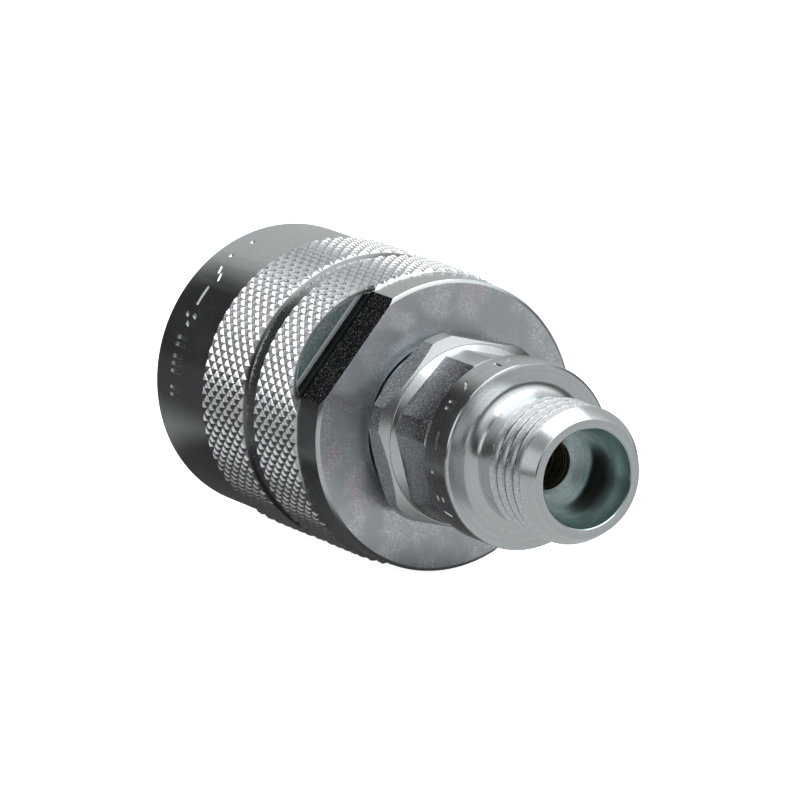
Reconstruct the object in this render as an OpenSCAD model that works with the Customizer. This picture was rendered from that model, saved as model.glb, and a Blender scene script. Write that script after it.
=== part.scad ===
// Half of a screw-to-connect hydraulic quick coupler. A knurled union sleeve turns on a valve
// body, and a stud with a 24 degree cone takes the tube nut.
// Millimetres. The axis lies along X: the stud points to +X, the open mating end to -X, +Z is up.
// Origin: on the axis, at the middle of the stud's thread.

/* [Union sleeve] */
// Length of the sleeve along the axis
sleeve_len = 33.3; // [31.3:0.1:42]
// Diameter of the plain bands at the front and rear
sleeve_d = 30; // [28.6:0.1:38]
// Height of the knurl crests above the plain bands
knurl_h = 0.45; // [0.2:0.05:0.8]
// Width of each knurled band
knurl_w = 7.95; // [5:0.05:9.5]
// Width of the plain groove between the knurled bands
knurl_gap = 2.25; // [1:0.05:3]
// Depth of that groove below the plain bands
knurl_gap_depth = 0.15; // [0:0.05:0.5]
// Width of the plain land at the rear
land_w = 4.5; // [3:0.1:5.5]
// Distance across the two wrench flats
sleeve_af = 27; // [25.2:0.1:28.4]
// Length of the wrench flats from the rear face
flat_len = 3.9; // [2:0.1:5]
// Radius of the flats' run-out
cutter_r = 3.3; // [2:0.1:5]
// Turn of the wrench flats about the axis
flat_turn = 139.5; // [0:0.5:180]
// Thickness of the sleeve's rear wall
rear_wall = 4.5; // [3.6:0.1:5.5]
// Nominal diameter of the union thread
union_d = 24; // [20:0.5:24.4]
// Pitch of the union thread
union_pitch = 2; // [1.5:0.5:2]
// Length of the union thread
union_len = 9; // [6:0.1:9.6]
// Distance from the front rim to the union thread
mouth_len = 2.5; // [2.3:0.1:3.5]
// Axial play of the sleeve on the body
sleeve_play = 1.2; // [0.5:0.1:2]

/* [Valve body] */
// Distance across the flats of the body's hexagon
body_af = 19; // [18.8:0.1:22]
// Width of the body's hexagon along the axis
body_hex_w = 4; // [3.6:0.1:6]
// Turn of the body's hexagon about the axis
body_turn = 135.5; // [0:0.5:180]
// Length of the tapered shoulder behind the body's hexagon
body_shoulder = 0.9; // [0.4:0.1:1]
// Wall of the shank outside the seal's groove
shank_wall = 1.3; // [1.1:0.1:1.8]
// Depth of the shank's front end behind the front rim
socket_recess = 12.3; // [12.1:0.1:14]
// Diameter of the socket for the mating nose
nose_socket_d = 12; // [11:0.1:14.4]
// Depth of the socket for the mating nose
nose_socket_len = 6.5; // [5:0.1:7]
// Step that the valve seat rests on, between its pocket and the valve chamber
seat_step = 0.4; // [0.3:0.1:0.6]
// Wire of the sleeve's retaining ring
ring_wire = 2; // [1.6:0.1:2.4]

/* [Stud] */
// Distance across the flats of the stud's hexagon
stud_af = 17; // [16:0.1:18.4]
// Width of the stud's hexagon along the axis
stud_hex_w = 5.7; // [4:0.1:8]
// Turn of the stud's hexagon about the axis
stud_turn = 134.5; // [0:0.5:180]
// Diameter of the round collar
collar_d = 19; // [17.5:0.1:21]
// Width of the round collar
collar_w = 4.7; // [3:0.1:8]
// Outside diameter of the stud's thread
stud_d = 14; // [13.6:0.1:16.8]
// Length of full thread on the stud
stud_thread_len = 4.8; // [3:0.1:9]
// Length of the neck between collar and thread
neck_len = 4.5; // [3:0.1:6]
// Depth of the neck below the thread's crests
neck_depth = 0.7; // [0.4:0.1:1]
// Length of the lead chamfer
lead_len = 1.7; // [1:0.1:2.4]
// Width of the end face round the cone's mouth
end_rim = 0.95; // [0.5:0.05:1.2]
// Diameter at the mouth of the 24 degree cone
cone_d = 10.1; // [9.4:0.1:10.6]
// Diameter of the tube that the socket takes
tube_d = 8; // [7.4:0.1:8.4]
// Depth of the tube stop below the end face
tube_stop = 7; // [6:0.1:8]
// Diameter of the flow bore
bore_d = 5.2; // [4.4:0.1:6]

/* [Valve] */
// Opening travel of the poppet
poppet_travel = 3; // [2:0.1:3.2]
// Diameter of the poppet's stem
stem_d = 3.2; // [2.8:0.1:3.9]
// Wall of the valve seat round its hole
seat_wall = 1.8; // [1.6:0.1:2.2]
// Wire of the poppet spring
spring_wire = 0.8; // [0.6:0.1:0.9]
// Turns of the poppet spring
spring_turns = 4.5; // [3:0.5:5]

/* [Fits] */
// Radial gap of a running fit
run_gap = 0.08; // [0.02:0.01:0.1]
// Gap between screwed or seated pieces
seat_gap = 0.02; // [0.01:0.01:0.05]
// Gap between pieces that move past each other
move_gap = 0.3; // [0.2:0.05:0.5]

/* [Hidden] */
$fn = 96;

cone_half = 12;         // half of the stud's 24 degree cone
corner_share = 0.545;    // radius that the hexagons' corners are turned to, of the distance across the flats
edge = 0.4;             // small turned edge break
fine_edge = 0.2;        // edge break on small pieces
cut = 1;                // how far a cutting shape runs past the face it opens

// Stations along X, from the stud's free end to the front rim
x_end = stud_thread_len / 2 + lead_len;
x_thread_end = stud_thread_len / 2;
x_thread_start = -stud_thread_len / 2;
x_collar_rear = x_thread_start - neck_len;
x_collar_front = x_collar_rear - collar_w;
x_stud_hex_front = x_collar_front - stud_hex_w;
x_body_hex_rear = x_stud_hex_front;
x_body_hex_front = x_body_hex_rear - body_hex_w;
x_sleeve_rear = x_body_hex_front - sleeve_play - move_gap;
x_wall_front = x_sleeve_rear - rear_wall;
x_sleeve_front = x_sleeve_rear - sleeve_len;
x_knurl_rear = x_sleeve_rear - land_w;
x_knurl_mid_rear = x_knurl_rear - knurl_w;
x_knurl_mid_front = x_knurl_mid_rear - knurl_gap;
x_knurl_front = x_knurl_mid_front - knurl_w;

// Union thread and mouth of the sleeve
union_r = (union_d - union_pitch) / 2;
mouth_r = union_d / 2 + 0.15;
x_union_front = x_sleeve_front + mouth_len;
x_union_rear = x_union_front + union_len;
relief_r = union_d / 2 + 0.2;
relief_w = 1.6;
inner_r = union_d / 2;
wiper_w = 1.3;
wiper_groove_r = mouth_r + 0.65;
wiper_lip = 0.4;
x_wiper = x_sleeve_front + (mouth_len + edge - wiper_w) / 2;

// Shank, retaining ring and the washers on it
nose_r = nose_socket_d / 2;
seal_groove_r = nose_r + 1.3;
shank_r = seal_groove_r + shank_wall;
sleeve_bore_r = shank_r + run_gap;
slide_t = 1;
washer_t = 1.2;
x_slide_rear = x_wall_front - seat_gap;
x_slide_front = x_slide_rear - slide_t;
x_washer_rear = x_slide_front - seat_gap;
x_washer_front = x_washer_rear - washer_t;
ring_depth = 0.9;
ring_root_r = shank_r - ring_depth;
ring_groove_w = ring_wire + 2 * seat_gap;
x_ring_rear = x_washer_front - seat_gap;
x_ring_mid = x_ring_rear - ring_groove_w / 2;
ring_split = 16;
washer_r = inner_r - 0.6;
slide_r = inner_r - 0.4;
x_shank_front = x_sleeve_front + socket_recess;
dust_w = 1.5;
dust_groove_r = sleeve_bore_r + 1.2;
x_dust_mid = x_sleeve_rear - rear_wall / 2;

// Socket, seat and valve chamber inside the body
x_socket_end = x_shank_front + nose_socket_len;
seal_w = 1.7;
backup_w = 0.9;
groove_w = seal_w + backup_w + 4 * seat_gap;
x_groove_front = x_shank_front + (nose_socket_len - groove_w) / 2;
seat_t = 2.2;
x_seat_front = x_socket_end + seat_gap;
x_seat_rear = x_seat_front + seat_t;
seat_cone = 1.2;
pocket_r = nose_r - 0.3;
seat_r = pocket_r - seat_wall;
x_seat_cone = x_seat_rear - seat_cone;
chamber_r = pocket_r - seat_step;

// Screwed joint between body and stud, with its seal
spigot_r = chamber_r + 1.7;
joint_seal_w = 1.5;
joint_backup_w = 0.6;
counter_depth = joint_seal_w + joint_backup_w + 3 * seat_gap;
counter_r = spigot_r + 0.7;
spigot_neck_r = spigot_r - 0.8;
x_counter = x_body_hex_rear - counter_depth;
spigot_len = 6;
x_spigot_front = x_stud_hex_front - spigot_len;

// Spring guide, its circlip and bush
circlip_w = 1;
circlip_gap = 0.4;
x_circlip_rear = x_spigot_front - circlip_gap;
x_circlip_front = x_circlip_rear - circlip_w;
circlip_groove_r = spigot_r + 0.6;
circlip_inner_r = spigot_r - 0.8;
circlip_split = 40;
guide_t = 1.8;
x_guide_rear = x_circlip_front - seat_gap;
x_guide_front = x_guide_rear - guide_t;
guide_r = spigot_r - seat_gap;
bush_wall = 0.45;
stem_r = stem_d / 2;
bush_r = stem_r + run_gap + bush_wall;
hub_r = bush_r + 0.5;
hub_len = 1.2;
x_hub_front = x_guide_front - hub_len;
flow_holes = 6;
flow_r = 0.8;
flow_pitch_r = chamber_r - flow_r - 0.1;
shim_t = 0.4;
shim_in = hub_r + seat_gap;

// Poppet in its closed place against the seat
seal_t = 1;
flange_t = 1.2;
flange_r = seat_r + 0.7;
seal_bore_r = 2.9;
x_seal_front = x_seat_cone + 0.5;
x_seal_rear = x_seal_front + seal_t;
x_flange_rear = x_seal_rear + flange_t;
stub_r = 1.8;
stub_len = 1.6;
x_stem_rear = x_spigot_front + 1.5;
tip_pin_r = 2;
cone_gap = 0.05;
spring_r = shim_in + spring_wire / 2;
spring_front = x_flange_rear + seat_gap;
spring_rear = x_guide_front - shim_t - 2 * seat_gap;

// Radius of the seat's cone at a station
function seat_cone_r(x) = seat_r + (x - x_seat_cone);

// Turns a shape drawn along Z so that it lies along X, at a turn about the axis
module on_axis(x, turn = 0) {
    translate([x, 0, 0]) rotate([turn, 0, 0]) rotate([90, 0, 90]) children();
}

// Solid of revolution from points of [station, radius]
module turned(points) {
    on_axis(0) rotate_extrude() polygon([for (p = points) [p[1], p[0]]]);
}

// Ring of rectangular section with broken edges
module ring(x0, x1, r_in, r_out, e) {
    turned([[x0 + e, r_in], [x0, r_in + e], [x0, r_out - e], [x0 + e, r_out],
            [x1 - e, r_out], [x1, r_out - e], [x1, r_in + e], [x1 - e, r_in]]);
}

// Elastic ring as it sits squeezed in its groove: round corners, flat where it bears
module squeezed(x_mid, w, r_in, r_out) {
    c = min(w, r_out - r_in) * 0.35;
    on_axis(x_mid) rotate_extrude() translate([r_in, -w / 2]) union() {
        translate([c, 0]) square([r_out - r_in - 2 * c, w]);
        translate([0, c]) square([r_out - r_in, w - 2 * c]);
        for (u = [c, r_out - r_in - c], v = [c, w - c]) translate([u, v]) circle(c, $fn = 32);
    }
}

// Hexagonal prism whose corners are turned off at a 30 degree chamfer at one or both ends
module hexagon(x0, x1, af, turn, front, rear) {
    corner_r = af / 2 / cos(30);
    low_r = af / 2 - edge / 2;
    high_r = af * corner_share;
    drop = (high_r - low_r) * tan(30);
    intersection() {
        on_axis(x0, turn + 30) cylinder(h = x1 - x0, r = corner_r, $fn = 6);
        turned([[x0, 0], [x0, front ? low_r : high_r], [x0 + (front ? drop : 0), high_r],
                [x1 - (rear ? drop : 0), high_r], [x1, rear ? low_r : high_r], [x1, 0]]);
    }
}

// One wrench flat's cutter, with its rounded run-out
module flat_cutter() {
    wide = sleeve_d + 2 * knurl_h + 2 * cut;
    deep = sleeve_d / 2;
    translate([x_sleeve_rear - flat_len, -wide / 2, sleeve_af / 2])
        cube([flat_len + cut, wide, deep]);
    translate([x_sleeve_rear - flat_len, 0, sleeve_af / 2 + cutter_r])
        rotate([90, 0, 0]) cylinder(h = wide, r = cutter_r, center = true);
    translate([x_sleeve_rear - flat_len - cutter_r, -wide / 2, sleeve_af / 2 + cutter_r])
        cube([cutter_r + cut, wide, deep]);
}

module coupling_sleeve() {
    r = sleeve_d / 2;
    rk = r + knurl_h;
    rg = r - knurl_gap_depth;
    color("silver") difference() {
        turned([[x_sleeve_front, mouth_r + edge], [x_sleeve_front, r - edge],
                [x_sleeve_front + edge, r], [x_knurl_front - knurl_h, r], [x_knurl_front, rk],
                [x_knurl_mid_front - knurl_h, rk], [x_knurl_mid_front, rg],
                [x_knurl_mid_rear, rg], [x_knurl_mid_rear + knurl_h, rk],
                [x_knurl_rear - knurl_h, rk], [x_knurl_rear, r], [x_sleeve_rear - edge, r],
                [x_sleeve_rear, r - edge], [x_sleeve_rear, sleeve_bore_r + edge],
                [x_sleeve_rear - edge, sleeve_bore_r], [x_wall_front, sleeve_bore_r],
                [x_wall_front, inner_r], [x_union_rear + relief_w, inner_r],
                [x_union_rear + relief_w, relief_r], [x_union_rear, relief_r],
                [x_union_rear, union_r], [x_union_front, union_r],
                [x_union_front - edge / 2, mouth_r], [x_sleeve_front + edge, mouth_r]]);
        ring(x_wiper, x_wiper + wiper_w, mouth_r - cut, wiper_groove_r, 0.01);
        ring(x_dust_mid - dust_w / 2 - seat_gap, x_dust_mid + dust_w / 2 + seat_gap,
             sleeve_bore_r - cut, dust_groove_r, 0.01);
        for (side = [0, 180]) rotate([flat_turn - 90 + side, 0, 0]) flat_cutter();
    }
}

module front_wiper_ring() {
    color("black") squeezed(x_wiper + wiper_w / 2, wiper_w - 2 * seat_gap,
                            mouth_r - wiper_lip, wiper_groove_r - seat_gap);
}

module sleeve_dust_ring() {
    color("black") squeezed(x_dust_mid, dust_w, shank_r + run_gap / 2, dust_groove_r - seat_gap);
}

module slide_ring() {
    color("ivory") ring(x_slide_front, x_slide_rear, sleeve_bore_r, slide_r, fine_edge);
}

module thrust_washer() {
    color("gray") ring(x_washer_front, x_washer_rear, shank_r + seat_gap, washer_r, fine_edge);
}

module retaining_ring() {
    color("dimgray") rotate([ring_split / 2, 0, 0]) on_axis(x_ring_mid)
        rotate_extrude(angle = 360 - ring_split)
            translate([ring_root_r + seat_gap + ring_wire / 2, 0]) circle(d = ring_wire, $fn = 32);
}

module valve_body() {
    color("lightgray") difference() {
        union() {
            hexagon(x_body_hex_front, x_body_hex_rear - body_shoulder, body_af, body_turn, true, true);
            turned([[x_body_hex_rear - body_shoulder - edge, 0], [x_body_hex_rear - body_shoulder - edge, body_af / 2 - edge],
                    [x_body_hex_rear - body_shoulder, body_af / 2 - edge / 2],
                    [x_body_hex_rear, body_af / 2 - edge / 2 - body_shoulder], [x_body_hex_rear, 0]]);
            turned([[x_shank_front, 0], [x_shank_front, shank_r - edge],
                    [x_shank_front + edge, shank_r], [x_ring_mid - ring_groove_w / 2, shank_r],
                    [x_ring_mid - ring_groove_w / 2, ring_root_r],
                    [x_ring_mid + ring_groove_w / 2, ring_root_r],
                    [x_ring_mid + ring_groove_w / 2, shank_r], [x_body_hex_front + edge, shank_r],
                    [x_body_hex_front + edge, 0]]);
        }
        turned([[x_shank_front - cut, 0], [x_shank_front - cut, nose_r + edge + cut],
                [x_shank_front + edge, nose_r], [x_groove_front, nose_r],
                [x_groove_front, seal_groove_r], [x_groove_front + groove_w, seal_groove_r],
                [x_groove_front + groove_w, nose_r], [x_socket_end, nose_r],
                [x_socket_end, pocket_r], [x_seat_rear + seat_gap, pocket_r],
                [x_seat_rear + seat_gap, chamber_r], [x_guide_front, chamber_r],
                [x_guide_front, spigot_r], [x_circlip_front, spigot_r],
                [x_circlip_front, circlip_groove_r], [x_circlip_rear, circlip_groove_r],
                [x_circlip_rear, spigot_r], [x_counter, spigot_r], [x_counter, counter_r],
                [x_body_hex_rear - edge / 2, counter_r],
                [x_body_hex_rear, counter_r + edge / 2],
                [x_body_hex_rear + cut, counter_r + edge / 2], [x_body_hex_rear + cut, 0]]);
    }
}

module seat_ring() {
    color("silver") turned([[x_seat_front, seat_r], [x_seat_front, pocket_r - seat_gap],
                            [x_seat_rear, pocket_r - seat_gap], [x_seat_rear, seat_cone_r(x_seat_rear)],
                            [x_seat_cone, seat_r]]);
}

module nose_seal() {
    color("black") squeezed(x_groove_front + seat_gap + backup_w + seat_gap + seal_w / 2, seal_w,
                            nose_r + seat_gap, seal_groove_r - seat_gap);
}

module nose_backup_ring() {
    color("ivory") ring(x_groove_front + seat_gap, x_groove_front + seat_gap + backup_w,
                        nose_r + seat_gap, seal_groove_r - seat_gap, fine_edge / 2);
}

module stud_adapter() {
    thread_r = stud_d / 2;
    neck_r = thread_r - neck_depth;
    collar_r = collar_d / 2;
    fillet = min(1.5, collar_r - neck_r - 2 * edge, neck_len / 2);
    tube_r = tube_d / 2;
    x_tube_stop = x_end - tube_stop;
    x_cone = x_end - (cone_d - tube_d) / 2 / tan(cone_half);
    bore_r = bore_d / 2;
    funnel_r = spigot_r - 1.5;
    funnel = funnel_r - bore_r;
    arc = [for (a = [0:15:90]) [x_collar_rear + fillet * (1 - cos(a)),
                                neck_r + fillet * (1 - sin(a))]];
    color("lightgray") difference() {
        union() {
            hexagon(x_stud_hex_front, x_collar_front + edge, stud_af, stud_turn, false, true);
            turned(concat(
                [[x_spigot_front, 0], [x_spigot_front, spigot_r - edge - seat_gap],
                 [x_spigot_front + edge, spigot_r - seat_gap], [x_counter, spigot_r - seat_gap],
                 [x_counter, spigot_neck_r], [x_stud_hex_front + edge, spigot_neck_r],
                 [x_stud_hex_front + edge, neck_r], [x_collar_front, neck_r],
                 [x_collar_front, collar_r - edge], [x_collar_front + edge, collar_r],
                 [x_collar_rear - edge, collar_r], [x_collar_rear, collar_r - edge]],
                arc,
                [[x_thread_start - (thread_r - neck_r), neck_r], [x_thread_start, thread_r],
                 [x_thread_end, thread_r], [x_end, cone_d / 2 + end_rim], [x_end, 0]]));
        }
        turned([[x_spigot_front - cut, 0], [x_spigot_front - cut, funnel_r],
                [x_spigot_front, funnel_r], [x_spigot_front + funnel, bore_r],
                [x_tube_stop - edge, bore_r], [x_tube_stop, bore_r + edge],
                [x_tube_stop, tube_r], [x_cone, tube_r], [x_end, cone_d / 2],
                [x_end + cut, cone_d / 2], [x_end + cut, 0]]);
    }
}

module joint_seal() {
    color("black") squeezed(x_body_hex_rear - seat_gap - joint_seal_w / 2, joint_seal_w,
                            spigot_neck_r + seat_gap, counter_r - seat_gap);
}

module joint_backup_ring() {
    color("ivory") ring(x_counter + seat_gap, x_counter + seat_gap + joint_backup_w,
                        spigot_neck_r + seat_gap, counter_r - seat_gap, fine_edge / 2);
}

module spring_guide() {
    color("goldenrod") difference() {
        turned([[x_hub_front, 0], [x_hub_front, hub_r], [x_guide_front + seat_gap, hub_r],
                [x_guide_front + seat_gap, guide_r], [x_guide_rear, guide_r],
                [x_guide_rear, 0]]);
        on_axis(x_hub_front - cut) cylinder(h = hub_len + guide_t + 2 * cut, r = bush_r);
        for (i = [0:flow_holes - 1]) rotate([i * 360 / flow_holes, 0, 0])
            translate([0, 0, flow_pitch_r]) on_axis(x_guide_front - cut)
                cylinder(h = guide_t + 2 * cut, r = flow_r, $fn = 32);
    }
}

module guide_bush() {
    color("ivory") ring(x_hub_front, x_guide_rear, stem_r + run_gap, bush_r - seat_gap,
                        fine_edge / 2);
}

module guide_circlip() {
    color("dimgray") rotate([circlip_split / 2, 0, 0]) on_axis(x_circlip_front + seat_gap)
        rotate_extrude(angle = 360 - circlip_split)
            translate([circlip_inner_r, 0])
                square([circlip_groove_r - seat_gap - circlip_inner_r,
                        circlip_w - 2 * seat_gap]);
}

module spring_shim() {
    color("gray") ring(x_guide_front - shim_t, x_guide_front, shim_in,
                       shim_in + spring_wire + 0.1, fine_edge / 2);
}

// Coil of round wire as a closed tube swept along a helix
module poppet_spring() {
    sides = 8;
    steps = 20 * spring_turns;
    r = spring_wire / 2;
    span = spring_rear - spring_front - spring_wire;
    function wire(i, j) = let (t = i / steps, a = 360 * spring_turns * t, b = 360 * j / sides)
        [spring_front + r + span * t + r * sin(b),
         (spring_r + r * cos(b)) * cos(a), (spring_r + r * cos(b)) * sin(a)];
    points = [for (i = [0:steps], j = [0:sides - 1]) wire(i, j)];
    faces = concat(
        [[for (j = [0:sides - 1]) j]],
        [for (i = [0:steps - 1], j = [0:sides - 1])
            [i * sides + j, (i + 1) * sides + j, (i + 1) * sides + (j + 1) % sides,
             i * sides + (j + 1) % sides]],
        [[for (j = [sides - 1:-1:0]) steps * sides + j]]);
    color("slategray") polyhedron(points, faces);
}

module poppet_stem() {
    color("silver") turned([[x_seal_rear - stub_len, 0], [x_seal_rear - stub_len, stub_r],
                            [x_seal_rear, stub_r], [x_seal_rear, flange_r],
                            [x_flange_rear - fine_edge, flange_r],
                            [x_flange_rear, flange_r - fine_edge], [x_flange_rear, stem_r],
                            [x_stem_rear - edge, stem_r], [x_stem_rear, stem_r - edge],
                            [x_stem_rear, 0]]);
}

module poppet_seal() {
    r_front = seat_cone_r(x_seal_front) - cone_gap;
    r_rear = flange_r - seat_gap;
    color("black") turned([[x_seal_front + seat_gap, seal_bore_r + seat_gap],
                           [x_seal_front + seat_gap, r_front],
                           [x_seal_front + seat_gap + r_rear - r_front, r_rear],
                           [x_seal_rear - seat_gap, r_rear],
                           [x_seal_rear - seat_gap, seal_bore_r + seat_gap]]);
}

module poppet_tip() {
    r_rear = seat_cone_r(x_seal_front) - cone_gap;
    slope = r_rear - seat_r + 2 * cone_gap;
    color("silver") difference() {
        turned([[x_seat_front, 0], [x_seat_front, tip_pin_r - fine_edge],
                [x_seat_front + fine_edge, tip_pin_r], [x_seal_front - slope, tip_pin_r],
                [x_seal_front - slope, seat_r - 2 * cone_gap], [x_seal_front, r_rear],
                [x_seal_front, seal_bore_r], [x_seal_rear - seat_gap, seal_bore_r],
                [x_seal_rear - seat_gap, 0]]);
        on_axis(x_seal_rear - stub_len - seat_gap)
            cylinder(h = stub_len + cut, r = stub_r + seat_gap);
    }
}

coupling_sleeve();
front_wiper_ring();
sleeve_dust_ring();
slide_ring();
thrust_washer();
retaining_ring();
valve_body();
seat_ring();
nose_seal();
nose_backup_ring();
stud_adapter();
joint_seal();
joint_backup_ring();
spring_guide();
guide_bush();
guide_circlip();
spring_shim();
poppet_spring();
poppet_stem();
poppet_seal();
poppet_tip();
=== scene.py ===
"""Visual model of one half of a screw-to-connect hydraulic quick coupler.

The knurled union sleeve, the hexagonal valve body, the threaded stud and the poppet
spring are built here as detailed meshes in place of their plain solids. The washers,
rings, seals and valve parts keep their solids and get finishes of their own.
Classes work in millimetres along the coupler's axis X, and every mesh is scaled to
metres before it joins the frame.
"""

import logging
import math
from dataclasses import dataclass
from enum import Enum
from typing import Callable, Optional, Sequence, Union

import bpy
import numpy as np
from mathutils import Matrix, Vector


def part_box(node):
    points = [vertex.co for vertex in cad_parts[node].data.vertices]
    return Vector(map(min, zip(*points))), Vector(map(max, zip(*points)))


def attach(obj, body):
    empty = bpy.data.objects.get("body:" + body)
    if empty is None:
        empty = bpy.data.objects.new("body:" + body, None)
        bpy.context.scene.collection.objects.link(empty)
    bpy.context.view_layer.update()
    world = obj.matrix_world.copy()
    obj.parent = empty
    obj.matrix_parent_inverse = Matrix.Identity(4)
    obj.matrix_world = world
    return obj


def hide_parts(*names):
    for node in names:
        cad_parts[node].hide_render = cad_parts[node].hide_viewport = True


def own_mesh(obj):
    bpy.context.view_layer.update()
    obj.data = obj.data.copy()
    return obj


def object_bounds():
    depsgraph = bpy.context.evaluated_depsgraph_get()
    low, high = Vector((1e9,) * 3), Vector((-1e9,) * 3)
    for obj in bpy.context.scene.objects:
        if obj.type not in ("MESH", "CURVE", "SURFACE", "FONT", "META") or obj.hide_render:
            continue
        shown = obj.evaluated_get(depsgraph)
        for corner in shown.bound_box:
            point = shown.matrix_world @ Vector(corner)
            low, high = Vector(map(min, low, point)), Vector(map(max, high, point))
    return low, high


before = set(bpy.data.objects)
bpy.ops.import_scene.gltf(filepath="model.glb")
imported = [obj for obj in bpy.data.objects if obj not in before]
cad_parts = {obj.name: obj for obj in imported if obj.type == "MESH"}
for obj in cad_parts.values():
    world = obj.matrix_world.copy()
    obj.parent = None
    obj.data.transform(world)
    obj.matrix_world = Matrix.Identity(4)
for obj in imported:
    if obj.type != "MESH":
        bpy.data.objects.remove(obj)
CAD_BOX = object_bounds()

MM = 0.001
CORNER_SHARE = 0.545
CORNER_R = 0.25
NEAR = 0.02
FACING_UP = 0.9
SIDES = (0, 180)
FLOOR_GAP = 0.0001
ROUGH_SPREAD = 0.12
FLECK = (0.95, 0.96, 0.97)
STUDIO_TONE = (0.985, 1.0, 1.01)
log = logging.getLogger("coupler")

Profile = Sequence[tuple[float, float]]
Outline = list[tuple[float, float]]
Faces = list[tuple[int, ...]]
RadiusRule = Callable[[np.ndarray, np.ndarray, np.ndarray], np.ndarray]
FinishRule = Callable[[np.ndarray, np.ndarray], np.ndarray]
Socket = bpy.types.NodeSocket
Feed = Union[float, Sequence[float], Socket]
Colour = tuple[float, float, float]


class Body(Enum):
    """Bodies of the frame that pieces ride on."""

    COUPLER = "coupler_body"
    SLEEVE = "union_sleeve"


class Slot(Enum):
    """Names of the material slots."""

    ZINC = "zinc_steel"
    STEEL = "plain_steel"
    SPRING = "spring_steel"
    BRASS = "brass"
    RUBBER = "seal_rubber"
    PLASTIC = "white_plastic"


class Cut(Enum):
    """Ways of combining two closed meshes."""

    ADD = "UNION"
    REMOVE = "DIFFERENCE"
    KEEP = "INTERSECT"


class Effect(Enum):
    """Shader node groups that several finishes share."""

    GRAIN = "plated grain"
    RINGS = "turning rings"
    BLOOM = "plating bloom"
    CREVICE = "crevice depth"


# ---------------------------------------------------------------- meshes


def linked(name: str, data: bpy.types.ID) -> bpy.types.Object:
    """Makes an object and links it to the scene.

    Args:
        name: Name of the object.
        data: Its mesh, lamp or camera.

    Returns:
        The object.
    """
    made = bpy.data.objects.new(name, data)
    bpy.context.scene.collection.objects.link(made)
    return made


@dataclass
class Shell:
    """A closed mesh as plain arrays, in millimetres."""

    points: np.ndarray
    faces: Faces

    def thing(self, name: str) -> bpy.types.Object:
        """Makes a Blender object of the shell.

        Args:
            name: Name of the object and its mesh.

        Returns:
            The object, linked to the scene and still in millimetres.
        """
        mesh = bpy.data.meshes.new(name)
        mesh.from_pydata(self.points.tolist(), [], self.faces)
        mesh.update()
        return linked(name, mesh)

    def turned_about_axis(self, degrees: float) -> "Shell":
        """Turns the shell about the coupler's axis.

        Args:
            degrees: Turn from +Y towards +Z.

        Returns:
            The turned shell.
        """
        a = math.radians(degrees)
        y, z = self.points[:, 1].copy(), self.points[:, 2].copy()
        points = self.points.copy()
        points[:, 1] = y * math.cos(a) - z * math.sin(a)
        points[:, 2] = y * math.sin(a) + z * math.cos(a)
        return Shell(points, self.faces)


def on_ring(x: np.ndarray, radius: np.ndarray, angle: np.ndarray) -> np.ndarray:
    """Places points by station, radius and angle about the axis.

    Args:
        x: Stations along the axis.
        radius: Distances from the axis.
        angle: Angles from +Y towards +Z, in radians.

    Returns:
        Rows of X, Y and Z.
    """
    return np.stack([x, radius * np.cos(angle), radius * np.sin(angle)], axis=-1)


def arc(x: float, r: float, radius: float, start: float, end: float, steps: int) -> Outline:
    """Points of an arc in a profile.

    Args:
        x: Station of the arc's centre.
        r: Distance of the centre from the axis.
        radius: Radius of the arc.
        start: First angle in degrees, from +X towards the outside.
        end: Last angle in degrees.
        steps: Number of pieces that the arc is cut into.

    Returns:
        Stations and distances from the axis.
    """
    turns = [math.radians(start + (end - start) * i / steps) for i in range(steps + 1)]
    return [(x + radius * math.cos(a), r + radius * math.sin(a)) for a in turns]


def finer(profile: Profile, start: float, end: float, step: float) -> Outline:
    """Splits a profile's lines where they lie between two stations.

    Args:
        profile: Stations and distances from the axis.
        start: First station of the split part.
        end: Last station of the split part.
        step: Longest piece left there.

    Returns:
        The profile with more points.
    """
    made, slack = [tuple(profile[0])], 1e-6
    for (xa, ra), (xb, rb) in zip(profile, profile[1:]):
        inside = start - slack <= min(xa, xb) and max(xa, xb) <= end + slack
        count = max(1, math.ceil(abs(xb - xa) / step)) if inside else 1
        made += [(xa + (xb - xa) * i / count, ra + (rb - ra) * i / count)
                 for i in range(1, count + 1)]
    return made


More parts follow.
